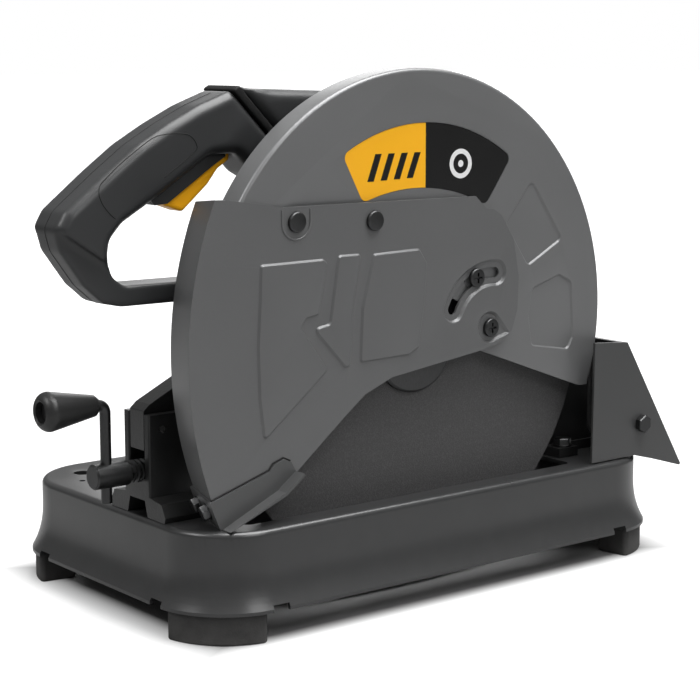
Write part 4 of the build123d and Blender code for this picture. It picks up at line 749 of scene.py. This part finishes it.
# %% Trigger shroud
CHEEK = ((-228, 315.5), (-214, 323), (-181, 343), (-161, 343), (-158.5, 338), (-172, 330), (-208.5, 306.3),
         (-219.5, 305.5))
NOSE = ((-228, 315.5), (-218.5, 320.5), (-217.6, 316), (-217.6, 306), (-219.5, 305.5))
GRIP_MIDDLE = 0.050
CHEEK_INSIDE, CHEEK_OUTSIDE, NOSE_HALF = 0.0089, 0.0120, 0.0092
shroud = bmesh.new()
prism(shroud, CHEEK, GRIP_MIDDLE + CHEEK_INSIDE, GRIP_MIDDLE + CHEEK_OUTSIDE)
prism(shroud, CHEEK, GRIP_MIDDLE - CHEEK_OUTSIDE, GRIP_MIDDLE - CHEEK_INSIDE)
prism(shroud, NOSE, GRIP_MIDDLE - NOSE_HALF, GRIP_MIDDLE + NOSE_HALF)
bmesh.ops.recalc_face_normals(shroud, faces=shroud.faces)
round_edges(make_piece(shroud, "trigger_shroud", "head", "neck_plastic"), 0.0008, 3)

# %% [markdown]
# ## Two fine lines on the lower guard
# A raised rim runs down, round and up again under the front rivet, and a black bead along the top edge of the
# lip is a painted shadow for the gap there. Both are beads half sunk in the plate.

# %% Rivet rim and the lip gap's painted shadow
RIM_RADIUS, RIM_LEG, RIM_STEPS = 0.0125, 0.009, 18
RIVET = (-0.136, 0.293)
LIP_EDGE = ((-211.5, 102.2), (-162, 117.1), (-158, 121.6), (-149, 124.7), (-142.6, 121.6))
plate_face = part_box("guard_rivets")[0].x
rim = [Vector((plate_face, RIVET[0] - RIM_RADIUS, RIVET[1] + RIM_LEG))]
for step in range(RIM_STEPS + 1):
    angle = math.pi + math.pi * step / RIM_STEPS
    rim.append(Vector((plate_face, RIVET[0] + RIM_RADIUS * math.cos(angle),
                       RIVET[1] + RIM_RADIUS * math.sin(angle))))
rim.append(Vector((plate_face, RIVET[0] + RIM_RADIUS, RIVET[1] + RIM_LEG)))
bead(rim, 0.0008, "rivet_rim", "lower_guard", "lower_guard_paint")
# A black bead along the lip's top edge: a painted shadow standing in for the shade in the gap.
shadow_bead_points = [Vector((plate_face + 0.0001, y / 1000, z / 1000)) for y, z in LIP_EDGE]
bead(shadow_bead_points, 0.0007, "lip_gap_painted_shadow", "lower_guard", "collar_rubber")
print("rim at x =", round(plate_face, 4))

# %% [markdown]
# ## A rib under the deck
# A pressed deck this size has a folded rib welded beside the wheel slot. It is a web and a flange with
# rounded folds, and it also keeps daylight from showing through the slot.

# %% Stiffening rib
RIB = ((-205, 45), (-165, 25.5), (165, 25.5), (195, 45), (195, 76.6), (-205, 76.6))
FLANGE = ((-205, 75.1), (195, 75.1), (195, 76.7), (-205, 76.7))
WEB_INSIDE, WEB_OUTSIDE = 0.0765, 0.0780
FLANGE_INSIDE, FLANGE_OUTSIDE = 0.0690, 0.0766
rib = bmesh.new()
prism(rib, RIB, WEB_INSIDE, WEB_OUTSIDE)
prism(rib, FLANGE, FLANGE_INSIDE, FLANGE_OUTSIDE)
bmesh.ops.recalc_face_normals(rib, faces=rib.faces)
round_edges(make_piece(rib, "stiffening_rib", "base", "base_paint"), 0.0005)
print("rib from y", RIB[0][0], "to", RIB[4][0], "mm")

# %% [markdown]
# ## The vise screw's thread
# The screw has a coarse 4 mm thread. A thread is one small profile spun round the axis while it also moves
# along it, which is what spin does when it is given a step along the axis. The hub that the crank goes
# through is a plain turned shape on the end.

# %% Vise screw helpers
low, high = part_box("vise_screw")
AXIS_X, AXIS_Z = (low.x + high.x) / 2, (low.z + high.z) / 2
PITCH = 0.004
TURN_STEPS = 28
CREST, ROOT = 0.0084, 0.0066
SCREW_HUB_END = -0.2335
SCREW_NOSE = -0.022


def at_axis(along, radius):
    """A point at a place along the screw and a radius out from its axis."""
    return Vector((AXIS_X + radius, along, AXIS_Z))


def spun(profile, angle, steps, travel=0.0):
    """A line of (along, radius) points spun round the screw's axis, moving along it by a step each time."""
    shape = bmesh.new()
    verts = [shape.verts.new(at_axis(along, radius)) for along, radius in profile]
    for first, second in zip(verts, verts[1:]):
        shape.edges.new((first, second))
    bmesh.ops.spin(shape, geom=shape.verts[:] + shape.edges[:], cent=at_axis(0.0, 0.0), axis=(0.0, 1.0, 0.0),
                   dvec=(0.0, travel, 0.0), angle=angle, steps=steps, use_merge=not travel)
    bmesh.ops.remove_doubles(shape, verts=shape.verts, dist=1e-6)
    bmesh.ops.recalc_face_normals(shape, faces=shape.faces)
    return shape


# %% Thread and core
TOOTH = ((0.0, ROOT), (0.0006, ROOT), (0.0016, CREST), (0.0026, CREST), (PITCH, ROOT))
turns = int((SCREW_NOSE - SCREW_HUB_END) / PITCH) - 1
thread = spun([(SCREW_HUB_END + along, radius) for along, radius in TOOTH],
              math.tau * turns, TURN_STEPS * turns, PITCH / TURN_STEPS)
thread_piece = make_piece(thread, "vise_screw_thread", "vise_screw", "steel_dark", 50.0)
core = spun([(low.y, 0.0), (low.y, 0.0079), (low.y + 0.0013, 0.0092), (SCREW_HUB_END - 0.001, 0.0092),
             (SCREW_HUB_END, 0.0082), (SCREW_HUB_END, 0.0067), (SCREW_NOSE, 0.0067), (SCREW_NOSE, 0.005),
             (SCREW_NOSE + 0.012, 0.005), (SCREW_NOSE + 0.012, 0.007), (high.y, 0.007), (high.y, 0.0)],
            math.tau, 48)
core_piece = make_piece(core, "vise_screw_core", "vise_screw", "steel_dark")
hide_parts("vise_screw")
print("thread turns:", turns, "faces:", len(thread_piece.data.polygons))

# %% [markdown]
# ## Generic marks on the label
# The label on the guard is one sheet of film in two colours. It carries only plain marks here: slanted bars
# on the yellow half, and a ring with a hub, for a wheel, on the black half. They are thin raised ink, cut
# from the simplest shapes and pushed out by a tenth of a millimetre.

# %% Label bars
INK = 0.00012
label_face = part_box("badge_yellow")[1].x


def ink(shape, name, slot):
    """Gives a flat outline on the label a thin body."""
    sheet = bmesh.ops.extrude_face_region(shape, geom=shape.faces[:])
    raised = [item for item in sheet["geom"] if isinstance(item, bmesh.types.BMVert)]
    bmesh.ops.translate(shape, verts=raised, vec=(INK, 0.0, 0.0))
    bmesh.ops.recalc_face_normals(shape, faces=shape.faces)
    return make_piece(shape, name, "head", slot)


BAR_COUNT, BAR_START, BAR_STEP = 4, -0.067, 0.0125
BAR_FOOT, BAR_FOOT_RISE, BAR_TOP = 0.318, 0.0004, 0.338
bars = bmesh.new()
for k in range(BAR_COUNT):
    start = BAR_START + BAR_STEP * k
    foot = BAR_FOOT + BAR_FOOT_RISE * k
    corners = ((0.0, foot), (0.006, foot), (0.0135, BAR_TOP), (0.0075, BAR_TOP))
    bars.faces.new([bars.verts.new((label_face, start + lean, up)) for lean, up in corners])
ink(bars, "label_bars", "label_black")

# %% Label ring
RING_AT = Vector((label_face, 0.024, 0.328))
RING_INSIDE, RING_OUTSIDE, HUB = 0.0075, 0.0112, 0.0026
facing = Matrix.Translation(RING_AT) @ Matrix.Rotation(math.pi / 2, 4, "Y")
ring = bmesh.new()
bmesh.ops.create_circle(ring, segments=48, radius=RING_OUTSIDE, matrix=facing)
inside = bmesh.ops.extrude_edge_only(ring, edges=ring.edges[:])
inner_verts = [item for item in inside["geom"] if isinstance(item, bmesh.types.BMVert)]
shrink = RING_INSIDE / RING_OUTSIDE
bmesh.ops.scale(ring, verts=inner_verts, vec=(1.0, shrink, shrink), space=Matrix.Translation(-RING_AT))
bmesh.ops.create_circle(ring, cap_ends=True, segments=48, radius=HUB, matrix=facing)
ring_piece = ink(ring, "label_ring", "label_white")
print("label marks at x =", round(label_face, 5))
